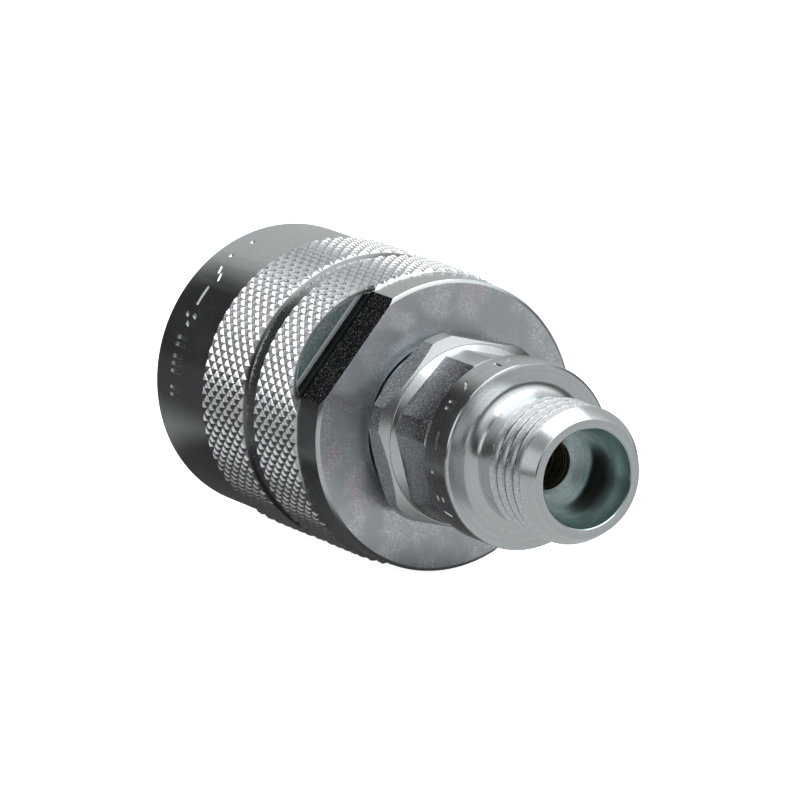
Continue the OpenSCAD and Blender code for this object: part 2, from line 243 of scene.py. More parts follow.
def turned(profile: Profile, columns: int, rule: Optional[RadiusRule] = None) -> Shell:
    """Turns a closed profile into a solid of revolution.

    Args:
        profile: Stations and distances from the axis. A profile whose two ends lie on the
            axis makes a full solid, and any other one makes a ring.
        columns: Number of points round the axis.
        rule: Changes the distance at a station and angle, as a thread does.

    Returns:
        The closed shell, its faces towards the outside.
    """
    line = [tuple(p) for p in profile]
    xs, rs = np.array([p[0] for p in line]), np.array([p[1] for p in line])
    area = float(np.sum(xs * np.roll(rs, -1) - np.roll(xs, -1) * rs))
    if area < 0:
        line.reverse()
    full = line[0][1] == 0 and line[-1][1] == 0
    rows = line[1:-1] if full else line
    x, r = (np.repeat(np.array([p[k] for p in rows])[:, None], columns, axis=1) for k in (0, 1))
    angle = np.repeat(np.arange(columns)[None, :] * (2 * math.pi / columns), len(rows), axis=0)
    if rule is not None:
        r = rule(x, r, angle)
    points = on_ring(x.ravel(), r.ravel(), angle.ravel())
    faces: Faces = []
    last = len(rows) - (1 if full else 0)
    for i in range(last):
        a, b = i * columns, ((i + 1) % len(rows)) * columns
        faces += [(a + j, b + j, b + (j + 1) % columns, a + (j + 1) % columns)
                  for j in range(columns)]
    if full:
        first, second = len(points), len(points) + 1
        points = np.vstack([points, [line[0][0], 0, 0], [line[-1][0], 0, 0]])
        end = (len(rows) - 1) * columns
        faces += [(first, j, (j + 1) % columns) for j in range(columns)]
        faces += [(second, end + (j + 1) % columns, end + j) for j in range(columns)]
    return Shell(points, faces)


def extruded(outline: Sequence[tuple[float, float]], start: float, end: float) -> Shell:
    """Extrudes an outline in Y and Z along the axis.

    Args:
        outline: Points in Y and Z, anticlockwise seen from +X.
        start: First station.
        end: Last station.

    Returns:
        The closed shell.
    """
    count = len(outline)
    near = [(start, y, z) for y, z in outline]
    far = [(end, y, z) for y, z in outline]
    faces: Faces = [tuple(range(count - 1, -1, -1)), tuple(range(count, 2 * count))]
    faces += [(i, (i + 1) % count, count + (i + 1) % count, count + i) for i in range(count)]
    return Shell(np.array(near + far, float), faces)


def combined(target: bpy.types.Object, tool: bpy.types.Object, how: Cut) -> bpy.types.Object:
    """Combines two closed meshes and removes the tool.

    Args:
        target: Object that keeps the result.
        tool: Object that is added, removed or kept in common.
        how: The way of combining them.

    Returns:
        The target.
    """
    step = target.modifiers.new("combine", "BOOLEAN")
    step.operation, step.solver, step.object = how.value, "MANIFOLD", tool
    graph = bpy.context.evaluated_depsgraph_get()
    mesh = bpy.data.meshes.new_from_object(target.evaluated_get(graph))
    target.modifiers.clear()
    spent, target.data = target.data, mesh
    bpy.data.meshes.remove(spent)
    bpy.data.objects.remove(tool)
    log.info("  %s %s: %d faces", how.name.lower(), target.name, len(mesh.polygons))
    return target


def finished(piece: bpy.types.Object, sharp_from: float = 14.0) -> bpy.types.Object:
    """Scales a piece to metres and shades it smooth up to an angle.

    Args:
        piece: Object in millimetres.
        sharp_from: Angle in degrees from which an edge stays crisp.

    Returns:
        The piece.
    """
    mesh = piece.data
    mesh.transform(Matrix.Scale(MM, 4))
    mesh.polygons.foreach_set("use_smooth", np.ones(len(mesh.polygons), bool))
    mesh.set_sharp_from_angle(angle=math.radians(sharp_from))
    mesh.update()
    return piece


@dataclass(frozen=True)
class Knurl:
    """A diamond knurl rolled round a cylinder."""

    count: int = 67
    pitch: float = 1.50
    root: float = 15.04
    crest: float = 15.45
    places: tuple[float, ...] = (0.0, 0.12, 0.28, 0.5, 0.72, 0.88)
    rises: tuple[float, ...] = (0.0, 0.42, 0.80, 1.0, 0.80, 0.42)

    def ring(self, start: float, end: float, inner: float) -> Shell:
        """Makes a ring whose outside is the knurl.

        Args:
            start: Station that the knurl has to cover from.
            end: Station that it has to cover to.
            inner: Radius of the ring's plain inside.

        Returns:
            The closed ring, which runs a diamond past both stations.
        """
        n = len(self.places)
        around = self.count * n
        low, high = -2 * n, int(2 * n * (end - start) / self.pitch) + 2 * n
        deltas = np.arange(low, high + 1)
        d, j = np.meshgrid(deltas, np.arange(around), indexing="ij")
        i = d + j
        places, rises = np.array(self.places), np.array(self.rises)
        a = np.floor_divide(i, n) + places[np.mod(i, n)]
        b = np.floor_divide(j, n) + places[np.mod(j, n)]
        rise = np.minimum(rises[np.mod(i, n)], rises[np.mod(j, n)])
        angle = math.pi * (a + b) / self.count
        x = start + self.pitch * (a - b) / 2
        radius = self.root + (self.crest - self.root) * rise
        outer = on_ring(x.ravel(), radius.ravel(), angle.ravel())
        under = on_ring(x.ravel(), np.full(x.size, inner), angle.ravel())
        faces = self.lattice(rise, around)
        total = len(outer)
        walls = self.rim(faces, total)
        every = faces.tolist() + (faces[:, ::-1] + total).tolist() + walls
        used = np.unique(faces)
        keep = np.concatenate([used, used + total])
        place = np.full(2 * total, -1)
        place[keep] = np.arange(len(keep))
        points = np.vstack([outer, under])[keep]
        return Shell(points, [tuple(int(place[v]) for v in f) for f in every])

    def lattice(self, rise: np.ndarray, around: int) -> np.ndarray:
        """Triangles of the knurl, split along the ridges of its diamonds.

        Args:
            rise: Height of each point, from 0 to 1, by row and column.
            around: Number of columns.

        Returns:
            Rows of three point numbers, towards the outside.
        """
        rows = np.arange(1, rise.shape[0] - 1)
        row, col = (grid.ravel() for grid in np.meshgrid(rows, np.arange(around), indexing="ij"))
        after = (col + 1) % around
        corners = [(row, col), (row + 1, col), (row, after), (row - 1, after)]
        p = [r * around + c for r, c in corners]
        h = [rise[r, c] for r, c in corners]
        straight = np.abs(h[0] - h[2]) >= np.abs(h[1] - h[3])
        choices = (((0, 3, 2), (0, 3, 1)), ((0, 2, 1), (3, 2, 1)))
        return np.vstack([
            np.where(straight[:, None], *(np.stack([p[k] for k in ks], 1) for ks in pair))
            for pair in choices
        ])

    @staticmethod
    def rim(faces: np.ndarray, total: int) -> list[tuple[int, ...]]:
        """Walls between the open edges of the knurl and those of the plain inside.

        Args:
            faces: Triangles of the knurl.
            total: Number by which the inside's points come later.

        Returns:
            One four-sided wall for each open edge.
        """
        edges = np.vstack([faces[:, [0, 1]], faces[:, [1, 2]], faces[:, [2, 0]]])
        forward = edges[:, 0].astype(np.int64) * total + edges[:, 1]
        backward = edges[:, 1].astype(np.int64) * total + edges[:, 0]
        open_edges = edges[~np.isin(forward, backward)]
        return [(int(b), int(a), int(a) + total, int(b) + total) for a, b in open_edges]


@dataclass(frozen=True)
class Thread:
    """A right-hand metric thread cut into a cylinder.

    Mouth and flank are shares of the pitch: half the groove's mouth, and its flank.
    """

    pitch: float
    crest: float
    depth: float
    start: float
    end: float
    fade: float
    internal: bool = False
    mouth: float = 7 / 16
    flank: float = 5 / 16
    rounding: float = 0.2

    def rule(self, x: np.ndarray, radius: np.ndarray, angle: np.ndarray) -> np.ndarray:
        """Radius of the threaded surface.

        Args:
            x: Stations.
            radius: Radii of the plain surface.
            angle: Angles about the axis.

        Returns:
            The radii with the thread's grooves in them.
        """
        phase = np.mod((x - self.start) / self.pitch - angle / (2 * math.pi), 1.0)
        away = np.abs(phase - 0.5) * self.pitch
        flank = np.clip((self.pitch * self.mouth - away) / (self.pitch * self.flank), 0, 1)
        smooth = flank * flank * (3 - 2 * flank)
        share = (1 - self.rounding) * flank + self.rounding * smooth
        rise, fall = ((x - self.start) / self.fade, (self.end - x) / self.fade)
        groove = self.depth * share * np.clip(rise, 0, 1) * np.clip(fall, 0, 1)
        if self.internal:
            near = np.abs(radius - self.crest) < 1e-3
            return np.where(near, radius + groove, radius)
        return np.where(groove > 0, np.minimum(radius, self.crest - groove), radius)


def rounded_hexagon(across: float, turn: float, corner: float) -> Outline:
    """Outline of a hexagon with rounded corners, in Y and Z.

    Args:
        across: Distance across the flats.
        turn: Direction of one flat, in degrees from +Y towards +Z.
        corner: Radius of the corners.

    Returns:
        Points of the outline, anticlockwise seen from +X.
    """
    reach = (across / 2 - corner) / math.cos(math.radians(30))
    outline: Outline = []
    for side in range(6):
        middle = math.radians(turn + 30 + 60 * side)
        cy, cz = reach * math.cos(middle), reach * math.sin(middle)
        for step in range(5):
            a = middle + math.radians(-30 + 15 * step)
            outline.append((cy + corner * math.cos(a), cz + corner * math.sin(a)))
    return outline


def hexagon(start: float, end: float, across: float, turn: float, front: bool,
            rear: bool) -> bpy.types.Object:
    """Makes a hexagon whose corners are turned off at 30 degrees.

    Args:
        start: First station.
        end: Last station.
        across: Distance across the flats.
        turn: Direction of one flat, in degrees.
        front: Whether the front end is chamfered.
        rear: Whether the rear end is chamfered.

    Returns:
        The hexagon in millimetres.
    """
    made = extruded(rounded_hexagon(across, turn, CORNER_R), start, end).thing("hexagon")
    reach = across * CORNER_SHARE
    bar = [(start - 1, 0.0), (start - 1, reach), (end + 1, reach), (end + 1, 0.0)]
    combined(made, turned(bar, 180).thing("bar"), Cut.KEEP)
    low, out = across / 2 - 0.2, across / 2 + 4
    slope = math.tan(math.radians(30))
    for wanted, x, way in ((front, start, 1), (rear, end, -1)):
        if wanted:
            ring = [(x - way, low - 1 / slope), (x + way * (out - low) * slope, out), (x - way, out)]
            combined(made, turned(ring, 180).thing("chamfer"), Cut.REMOVE)
    return made


@dataclass(frozen=True)
class Stroke:
    """One straight stamped stroke: a groove that narrows with depth."""

    x: float
    angle: float
    length: float
    width: float
    lean: float

    def shell(self, radius: float, depth: float) -> Shell:
        """Makes the tool that presses the stroke.

        Args:
            radius: Radius of the stamped cylinder.
            depth: Depth of the stroke.

        Returns:
            A closed eight-cornered wedge across the surface.
        """
        turn = math.radians(self.lean)
        along, across = (math.cos(turn), math.sin(turn)), (-math.sin(turn), math.cos(turn))
        points = []
        taper = 0.65
        for level, share in ((radius - depth, 1 - taper), (radius + depth, 1 + taper)):
            for sa, sb in ((-1, -1), (1, -1), (1, 1), (-1, 1)):
                da = sa * (self.length / 2 - self.width / 2 * (1 - share))
                db = sb * self.width / 2 * share
                x = self.x + along[0] * da + across[0] * db
                a = math.radians(self.angle) + (along[1] * da + across[1] * db) / radius
                points.append((x, level * math.cos(a), level * math.sin(a)))
        faces = [(0, 1, 2, 3), (7, 6, 5, 4), (0, 4, 5, 1), (1, 5, 6, 2), (2, 6, 7, 3), (3, 7, 4, 0)]
        return Shell(np.array(points), faces)


def stamped(target: bpy.types.Object, strokes: Sequence[Stroke], radius: float,
            depth: float) -> bpy.types.Object:
    """Presses generic strokes into a cylinder.

    Args:
        target: Piece in millimetres.
        strokes: The strokes, which must not cross one another.
        radius: Radius of the stamped cylinder.
        depth: Depth of the strokes.

    Returns:
        The target.
    """
    points, faces, count = [], [], 0
    for stroke in strokes:
        shell = stroke.shell(radius, depth)
        points.append(shell.points)
        faces += [tuple(v + count for v in f) for f in shell.faces]
        count += len(shell.points)
    return combined(target, Shell(np.vstack(points), faces).thing("stamp"), Cut.REMOVE)


# ---------------------------------------------------------------- finishes


class Wiring:
    """Adds nodes to one node tree and joins them."""

    def __init__(self, tree: bpy.types.NodeTree) -> None:
        """Starts with a node tree, which may already hold nodes."""
        self.tree = tree

    def node(self, kind: str, **settings: object) -> bpy.types.Node:
        """Adds a node of a kind and sets its plain settings."""
        made = self.tree.nodes.new(kind)
        for name, value in settings.items():
            setattr(made, name, value)
        return made

    def feed(self, socket: Socket, value: Feed) -> None:
        """Joins a socket to another one, or sets its value."""
        if isinstance(value, bpy.types.NodeSocket):
            self.tree.links.new(value, socket)
        else:
            socket.default_value = value

    def fill(self, node: bpy.types.Node, **values: Feed) -> bpy.types.Node:
        """Feeds a node's inputs by name, with _ for a space."""
        for name, value in values.items():
            self.feed(node.inputs[name.replace("_", " ")], value)
        return node

    def math(self, operation: str, *values: Feed) -> Socket:
        """Adds a Math node and returns its output."""
        made = self.node("ShaderNodeMath", operation=operation)
        for socket, value in zip(made.inputs, values):
            self.feed(socket, value)
        return made.outputs[0]

    def times(self, first: Feed, *others: Feed) -> Socket:
        """Multiplies values in order."""
        for other in others:
            first = self.math("MULTIPLY", first, other)
        return first

    def mixed(self, share: Feed, first: Feed, second: Feed) -> Socket:
        """Mixes two values by a share."""
        rest = self.times(first, self.math("SUBTRACT", 1.0, share))
        return self.math("ADD", rest, self.times(share, second))

    def ramp(self, value: Feed, low: Feed, high: Feed, start: float = 0.0, end: float = 1.0) -> Socket:
        """Maps a value smoothly from one range to another."""
        made = self.node("ShaderNodeMapRange", interpolation_type="SMOOTHSTEP")
        self.fill(made, Value=value, From_Min=low, From_Max=high, To_Min=start, To_Max=end)
        return made.outputs["Result"]

    def blend(self, share: Feed, first: Feed, second: Feed) -> Socket:
        """Mixes two colours by a share."""
        made = self.node("ShaderNodeMix", data_type="RGBA")
        for index, value in ((0, share), (6, first), (7, second)):
            self.feed(made.inputs[index], value)
        return made.outputs[2]

    def split(self, vector: Socket) -> bpy.types.bpy_prop_collection:
        """Returns a vector's X, Y and Z as outputs by name."""
        made = self.node("ShaderNodeSeparateXYZ")
        self.feed(made.inputs[0], vector)
        return made.outputs

    def coordinates(self, kind: str = "Object") -> Socket:
        """Returns the texture coordinates of a kind."""
        return self.node("ShaderNodeTexCoord").outputs[kind]

    def place(self) -> tuple[Socket, Socket]:
        """Returns the station along the object's own axis and the distance from it."""
        parts = self.split(self.coordinates())
        squares = [self.math("POWER", parts[axis], 2.0) for axis in "YZ"]
        return parts["X"], self.math("SQRT", self.math("ADD", *squares))

    def noise(self, scale: Feed, detail: float) -> bpy.types.Node:
        """Adds a noise texture on the object's own coordinates."""
        made = self.node("ShaderNodeTexNoise")
        return self.fill(made, Vector=self.coordinates(), Scale=scale, Detail=detail)

    def bump(self, shader: bpy.types.Node, height: Feed, soften: float = 0.0) -> None:
        """Bends a shader's normals by a height.

        Args:
            shader: The shader node.
            height: Height in metres.
            soften: Radius in millimetres over which edges look rounded, if any.
        """
        made = self.fill(self.node("ShaderNodeBump"), Distance=1.0, Height=height)
        if soften:
            bevel = self.fill(self.node("ShaderNodeBevel", samples=4), Radius=soften * MM)
            self.feed(made.inputs["Normal"], bevel.outputs[0])
        self.feed(shader.inputs["Normal"], made.outputs[0])

    def toned(self, level: Socket) -> Socket:
        """Turns a level into the studio's faintly cool grey."""
        tone = self.node("ShaderNodeCombineColor")
        for socket, share in zip(tone.inputs, STUDIO_TONE):
            self.feed(socket, self.times(level, share))
        return tone.outputs[0]


def opened(name: str) -> tuple[bpy.types.Material, Wiring, bpy.types.Node]:
    """Opens a new material.

    Args:
        name: Name of the material.

    Returns:
        The material, its wiring and its shader node.
    """
    made = bpy.data.materials.new(name)
    made.use_nodes = True
    return made, Wiring(made.node_tree), made.node_tree.nodes["Principled BSDF"]


class Effects:
    """The shared node groups, each made once."""

    def __init__(self) -> None:
        """Starts with no group made."""
        self.made: dict[Effect, bpy.types.NodeTree] = {}

    def tree(self, effect: Effect) -> bpy.types.NodeTree:
        """Returns an effect's node group and makes it when first asked for."""
        if effect not in self.made:
            maker = {
                Effect.GRAIN: self.grain,
                Effect.RINGS: self.rings,
                Effect.BLOOM: self.bloom,
                Effect.CREVICE: self.crevice,
            }[effect]
            self.made[effect] = maker()
        return self.made[effect]

    def place(self, wiring: Wiring, effect: Effect, **values: Feed) -> bpy.types.bpy_prop_collection:
        """Places an effect in a material.

        Args:
            wiring: Wiring of the material.
            effect: The effect.
            values: Its inputs by name, with _ for a space.

        Returns:
            The group's outputs by name.
        """
        made = wiring.node("ShaderNodeGroup", node_tree=self.tree(effect))
        return wiring.fill(made, **values).outputs

    @staticmethod
    def start(effect: Effect, inputs: dict[str, Feed],
              outputs: Sequence[str]) -> tuple[Wiring, dict, dict]:
        """Opens a new node group.

        Args:
            effect: The effect that names the group.
            inputs: Input names with their usual values, colours as four numbers.
            outputs: Output names. All are plain values but Colour.

        Returns:
            The wiring, and the group's sockets inside by name: inputs, then outputs.
        """
        tree = bpy.data.node_groups.new(effect.value, "ShaderNodeTree")
        number, colour = "NodeSocketFloat", "NodeSocketColor"
        for name, value in inputs.items():
            kind = number if isinstance(value, float) else colour
            made = tree.interface.new_socket(name=name, in_out="INPUT", socket_type=kind)
            made.default_value = value
        for name in outputs:
            kind = colour if name == "Colour" else number
            tree.interface.new_socket(name=name, in_out="OUTPUT", socket_type=kind)
        wiring = Wiring(tree)
        source, sink = wiring.node("NodeGroupInput"), wiring.node("NodeGroupOutput")
        return wiring, {n: source.outputs[n] for n in inputs}, {n: sink.inputs[n] for n in outputs}

    def grain(self) -> bpy.types.NodeTree:
        """Fine crystals of a zinc plating: a height and a mask of bright flecks."""
        w, given, out = self.start(Effect.GRAIN, {"Scale": 6000.0}, ("Height", "Fleck"))
        noise = w.fill(w.noise(given["Scale"], 3.0), Roughness=0.62)
        cells = w.node("ShaderNodeTexVoronoi")
        w.fill(cells, Vector=w.coordinates(), Scale=w.times(given["Scale"], 0.8))
        shade = w.node("ShaderNodeSeparateColor")
        w.feed(shade.inputs[0], cells.outputs["Color"])
        crystal = shade.outputs[0]
        height = w.math("ADD", w.times(noise.outputs[0], 0.65), w.times(crystal, 0.35))
        w.feed(out["Height"], height)
        w.feed(out["Fleck"], w.ramp(crystal, 0.84, 0.97))
        return w.tree

    def rings(self) -> bpy.types.NodeTree:
        """Turning marks that run round the axis on faces and on cylinders alike."""
        w, given, out = self.start(Effect.RINGS, {"Lines": 4000.0, "Broad": 600.0}, ("Height", "Tone"))
        station, radius = w.place()
        normal = w.split(w.node("ShaderNodeNewGeometry").outputs["True Normal"])
        facing = w.math("GREATER_THAN", w.math("ABSOLUTE", normal["X"]), 0.6)
        along = w.mixed(facing, station, radius)
        for name, lines, detail in (("Height", "Lines", 2.0), ("Tone", "Broad", 4.0)):
            noise = w.node("ShaderNodeTexNoise", noise_dimensions="1D")
            w.fill(noise, W=along, Scale=given[lines], Detail=detail)
            w.feed(out[name], noise.outputs[0])
        return w.tree

    def bloom(self) -> bpy.types.NodeTree:
        """Clouds of faint pink and blue-green in the plating, and a cloud mask."""
        usual = {"Base": opaque((0.7, 0.7, 0.7)), "Warm": opaque((0.8, 0.6, 0.7)),
                 "Cool": opaque((0.5, 0.7, 0.7)), "Scale": 160.0, "Strength": 0.4}
        w, given, out = self.start(Effect.BLOOM, usual, ("Colour", "Cloud"))
        colour = given["Base"]
        for tint, stretch, high in (("Warm", 1.0, 0.68), ("Cool", 1.37, 0.7)):
            noise = w.noise(w.times(given["Scale"], stretch), 4.0)
            share = w.times(w.ramp(noise.outputs[0], 0.5, high), given["Strength"])
            colour = w.blend(share, colour, given[tint])
        w.feed(out["Colour"], colour)
        w.feed(out["Cloud"], noise.outputs[0])
        return w.tree

    def crevice(self) -> bpy.types.NodeTree:
        """A mask from 0 in the grooves to 1 on the crests, by distance from the axis, for painted
        shade in the grooves.
        """
        w, given, out = self.start(Effect.CREVICE, {"Low": 0.0150, "High": 0.0154}, ("Mask",))
        w.feed(out["Mask"], w.ramp(w.place()[1], given["Low"], given["High"]))
        return w.tree


def opaque(colour: Colour, share: float = 1.0) -> tuple[float, ...]:
    """Returns a colour, darkened to a share of itself, with its alpha."""
    return (*(c * share for c in colour), 1.0)


@dataclass(frozen=True)
class MetalFinish:
    """A plated or bare metal with its working marks.

    Pairs named grain and rings are a scale per metre and a height in millimetres.
    """

    name: str
    base: Colour
    rough: float = 0.3
    tint: float = 0.35
    grain: tuple[float, float] = (6000, 0.0015)
    rings: tuple[float, float] = (4000, 0.0)
    warm: Colour = (0.78, 0.68, 0.74)
    cool: Colour = (0.54, 0.70, 0.74)
    clouds: float = 160
    ring_tone: float = 0.0
    ring_cut: tuple[float, float] = (0.42, 0.62)
    along: float = 0.0
    crevice: Optional[tuple[float, float]] = None
    crevice_shade: float = 0.4
    soften: float = 0.0
    mottle: float = 0.12
    patch: float = 0.0
    fleck_rough: float = 0.0
    fleck_light: float = 0.0
    metallic: float = 1.0

    def material(self, effects: Effects) -> bpy.types.Material:
        """Makes the finish's material.

        Args:
            effects: The shared node groups.

        Returns:
            The material.
        """
        made, w, shader = opened(self.name)
        w.fill(shader, Metallic=self.metallic, Anisotropic=self.along, Anisotropic_Rotation=0.25)
        bloom = effects.place(w, Effect.BLOOM, Base=opaque(self.base), Warm=opaque(self.warm),
                              Cool=opaque(self.cool), Scale=self.clouds, Strength=self.tint)
        grain = effects.place(w, Effect.GRAIN, Scale=self.grain[0])
        rings = effects.place(w, Effect.RINGS, Lines=self.rings[0], Broad=self.rings[0] / 6)
        colour = bloom["Colour"]
        for share, mask, low, high in (
            (self.mottle, grain["Height"], 0.34, 0.60),
            (self.patch, bloom["Cloud"], 0.40, 0.60),
            (self.ring_tone, rings["Tone"], *self.ring_cut),
        ):
            if share:
                colour = w.blend(w.ramp(mask, low, high), colour, opaque(self.base, 1 - share))
        if self.fleck_light:
            colour = w.blend(w.times(grain["Fleck"], self.fleck_light), colour, opaque(FLECK))
        # Painted shade: the grooves of knurl and thread are darkened to crevice_shade of the base
        # colour.
        if self.crevice:
            mask = effects.place(w, Effect.CREVICE, Low=self.crevice[0], High=self.crevice[1])
            colour = w.blend(mask["Mask"], opaque(self.base, self.crevice_shade), colour)
        w.feed(shader.inputs["Base Color"], colour)
        least = self.rough - ROUGH_SPREAD / 2
        spread = w.math("MULTIPLY_ADD", bloom["Cloud"], ROUGH_SPREAD, least)
        rough = w.math("MULTIPLY_ADD", grain["Fleck"], self.fleck_rough, spread)
        w.feed(shader.inputs["Roughness"], rough)
        rise = w.times(grain["Height"], self.grain[1] * MM)
        w.bump(shader, w.math("ADD", rise, w.times(rings["Height"], self.rings[1] * MM)), self.soften)
        if self.along:
            tangent = w.node("ShaderNodeTangent", direction_type="RADIAL", axis="X")
            w.feed(shader.inputs["Tangent"], tangent.outputs[0])
        return made


@dataclass(frozen=True)
class SoftFinish:
    """Rubber or plastic with a fine moulded skin."""

    name: str
    base: Colour
    dusty: Colour
    rough: float
    grain: tuple[float, float] = (9000, 0.002)

    def material(self, effects: Effects) -> bpy.types.Material:
        """Makes the finish's material.

        Args:
            effects: The shared node groups.

        Returns:
            The material.
        """
        made, w, shader = opened(self.name)
        dusty = opaque(self.dusty)
        bloom = effects.place(w, Effect.BLOOM, Base=opaque(self.base), Warm=dusty, Cool=dusty,
                              Scale=400.0, Strength=0.5)
        grain = effects.place(w, Effect.GRAIN, Scale=self.grain[0])
        rough = w.math("MULTIPLY_ADD", bloom["Cloud"], 0.2, self.rough - 0.1)
        w.fill(shader, Base_Color=bloom["Colour"], Roughness=rough)
        w.bump(shader, w.times(grain["Height"], self.grain[1] * MM))
        return made


Finish = Union[MetalFinish, SoftFinish]
PINK = (0.82, 0.68, 0.76)
BAND = MetalFinish("satin turned zinc", (0.69, 0.735, 0.74), 0.19, 0.25, (9000, 0.0018),
                   (6000, 0.0012), along=0.3, soften=0.05)
KNURLED = MetalFinish("knurled zinc", (0.86, 0.89, 0.91), 0.24, 0.2, (7000, 0.0028),
                      crevice=(0.01502, 0.01520), crevice_shade=0.20)
FACED = MetalFinish("faced zinc", (0.80, 0.84, 0.865), 0.30, 0.75, (8000, 0.0060), (5000, 0.0012),
                    warm=(0.96, 0.70, 0.80), clouds=190, along=0.25, soften=0.04, mottle=0.28,
                    patch=0.32)
MILLED = MetalFinish("milled zinc", (0.30, 0.33, 0.34), 0.14, 0.2, (15000, 0.0018), soften=0.04,
                     fleck_rough=0.30, fleck_light=0.35)
SCALLOPED = MetalFinish("milled run-out", (0.11, 0.15, 0.155), 0.14, 0.2, (9000, 0.0010), soften=0.03)
# Bright strip on the run-out where the cutter's step mark runs: its brightness is a painted highlight.
STEP_HIGHLIGHT = MetalFinish("painted highlight on cutter step", (0.62, 0.68, 0.69), 0.2, 0.2, (9000, 0.0020))
ROLLED = MetalFinish("rolled hexagon zinc", (0.48, 0.50, 0.53), 0.24, 0.25, (12000, 0.0070),
                     soften=0.03, mottle=0.5, fleck_rough=0.2, fleck_light=0.6)
TURNED = MetalFinish("bright turned zinc", (0.73, 0.765, 0.775), 0.20, 0.4, (9000, 0.0035),
                     (8000, 0.0030), PINK, ring_tone=0.14, along=0.35, soften=0.03, mottle=0.16,
                     patch=0.1)
THREADED = MetalFinish("threaded zinc", (0.78, 0.80, 0.82), 0.22, 0.4, (9000, 0.0018),
                       (6000, 0.0010), PINK, crevice=(0.00622, 0.00645), crevice_shade=0.10,
                       mottle=0.2)
UNION = MetalFinish("union thread zinc", (0.66, 0.69, 0.70), 0.26, 0.3, (6000, 0.0030))
BORED = MetalFinish("bored zinc", (0.62, 0.75, 0.755), 0.20, 0.5, (6000, 0.0012), (5500, 0.0024),
                    cool=(0.42, 0.68, 0.62), clouds=260, ring_tone=0.3, along=0.4)
STOPPED = MetalFinish("bright stop ring", (0.88, 0.93, 0.92), 0.48, 0.1, rings=(4500, 0.0010))
# A ring_tone near 1 paints the bore almost black between thin tan turning lines: painted shade inside
# the deep bore.
DRILLED = MetalFinish("drilled bore", (0.50, 0.44, 0.30), 0.34, 0.1, rings=(30000, 0.002),
                      ring_tone=0.985, ring_cut=(0.36, 0.50), metallic=0.3)
GROUND = MetalFinish("ground steel", (0.55, 0.56, 0.58), 0.22, 0.1, rings=(5000, 0.0006), along=0.4)
WIRE = MetalFinish("drawn spring wire", (0.30, 0.30, 0.32), 0.32, 0.15)
YELLOW = MetalFinish("turned brass", (0.72, 0.55, 0.27), 0.25, rings=(4000, 0.0010),
                     warm=(0.75, 0.48, 0.24), cool=(0.66, 0.58, 0.34), along=0.4)
NITRILE = SoftFinish("matt nitrile", (0.022, 0.022, 0.024), (0.05, 0.05, 0.052), 0.55)
WHITE = SoftFinish("white fluoropolymer", (0.84, 0.83, 0.79), (0.76, 0.75, 0.70), 0.42)


class Paintbox:
    """Makes each finish's material once and gives it to pieces."""

    def __init__(self) -> None:
        """Starts with the shared effects and no material."""
        self.effects = Effects()
        self.made: dict[str, bpy.types.Material] = {}

    def get(self, finish: Finish) -> bpy.types.Material:
        """Returns a finish's material."""
        if finish.name not in self.made:
            self.made[finish.name] = finish.material(self.effects)
        return self.made[finish.name]

    def coat(self, piece: bpy.types.Object, finishes: Sequence[Finish],
             choose: Optional[FinishRule] = None) -> None:
        """Gives a piece its finishes.

        Args:
            piece: The piece, in metres.
            finishes: Its finishes in order.
            choose: Picks a finish's number for each face from the face's centre, in
                millimetres, and normal. Without it every face takes the first finish.
        """
        faces = piece.data.polygons
        piece.data.materials.clear()
        for finish in finishes:
            piece.data.materials.append(self.get(finish))
        if choose is None:
            return
        centre, normal = (np.empty(len(faces) * 3, np.float32) for _ in range(2))
        faces.foreach_get("center", centre)
        faces.foreach_get("normal", normal)
        picked = choose(centre.reshape(-1, 3) / MM, normal.reshape(-1, 3))
        faces.foreach_set("material_index", picked.astype(np.int32))

    def set_in(self, piece: bpy.types.Object, node: str, body: Body,
               finishes: Sequence[Finish], choose: Optional[FinishRule] = None) -> bpy.types.Object:
        """Puts a piece in the place of a CAD node and gives it its finishes.

        Args:
            piece: The piece, in metres.
            node: Name of the node that it stands for.
            body: Body that it rides on.
            finishes: Its finishes in order.
            choose: Picks a finish's number for each face.

        Returns:
            The piece.
        """
        self.coat(piece, finishes, choose)
        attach(piece, body.value)
        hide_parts(node)
        log.info("%s: %d faces on %s", piece.name, len(piece.data.polygons), body.value)
        return piece

    def dress_solids(self) -> None:
        """Gives a finish to every piece whose CAD solid is kept."""
        for finish, names in KEPT_SOLIDS.items():
            for name in names:
                self.coat(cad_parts[name], (finish,))
                log.info("%s: %s", name, finish.name)


KEPT_SOLIDS = {
    NITRILE: ("front_wiper_ring", "sleeve_dust_ring", "nose_seal", "joint_seal", "poppet_seal"),
    WHITE: ("slide_ring", "nose_backup_ring", "joint_backup_ring", "guide_bush"),
    GROUND: ("thrust_washer", "seat_ring", "spring_shim", "poppet_stem", "poppet_tip"),
    WIRE: ("retaining_ring", "guide_circlip"),
    YELLOW: ("spring_guide",),
}


# ---------------------------------------------------------------- pieces


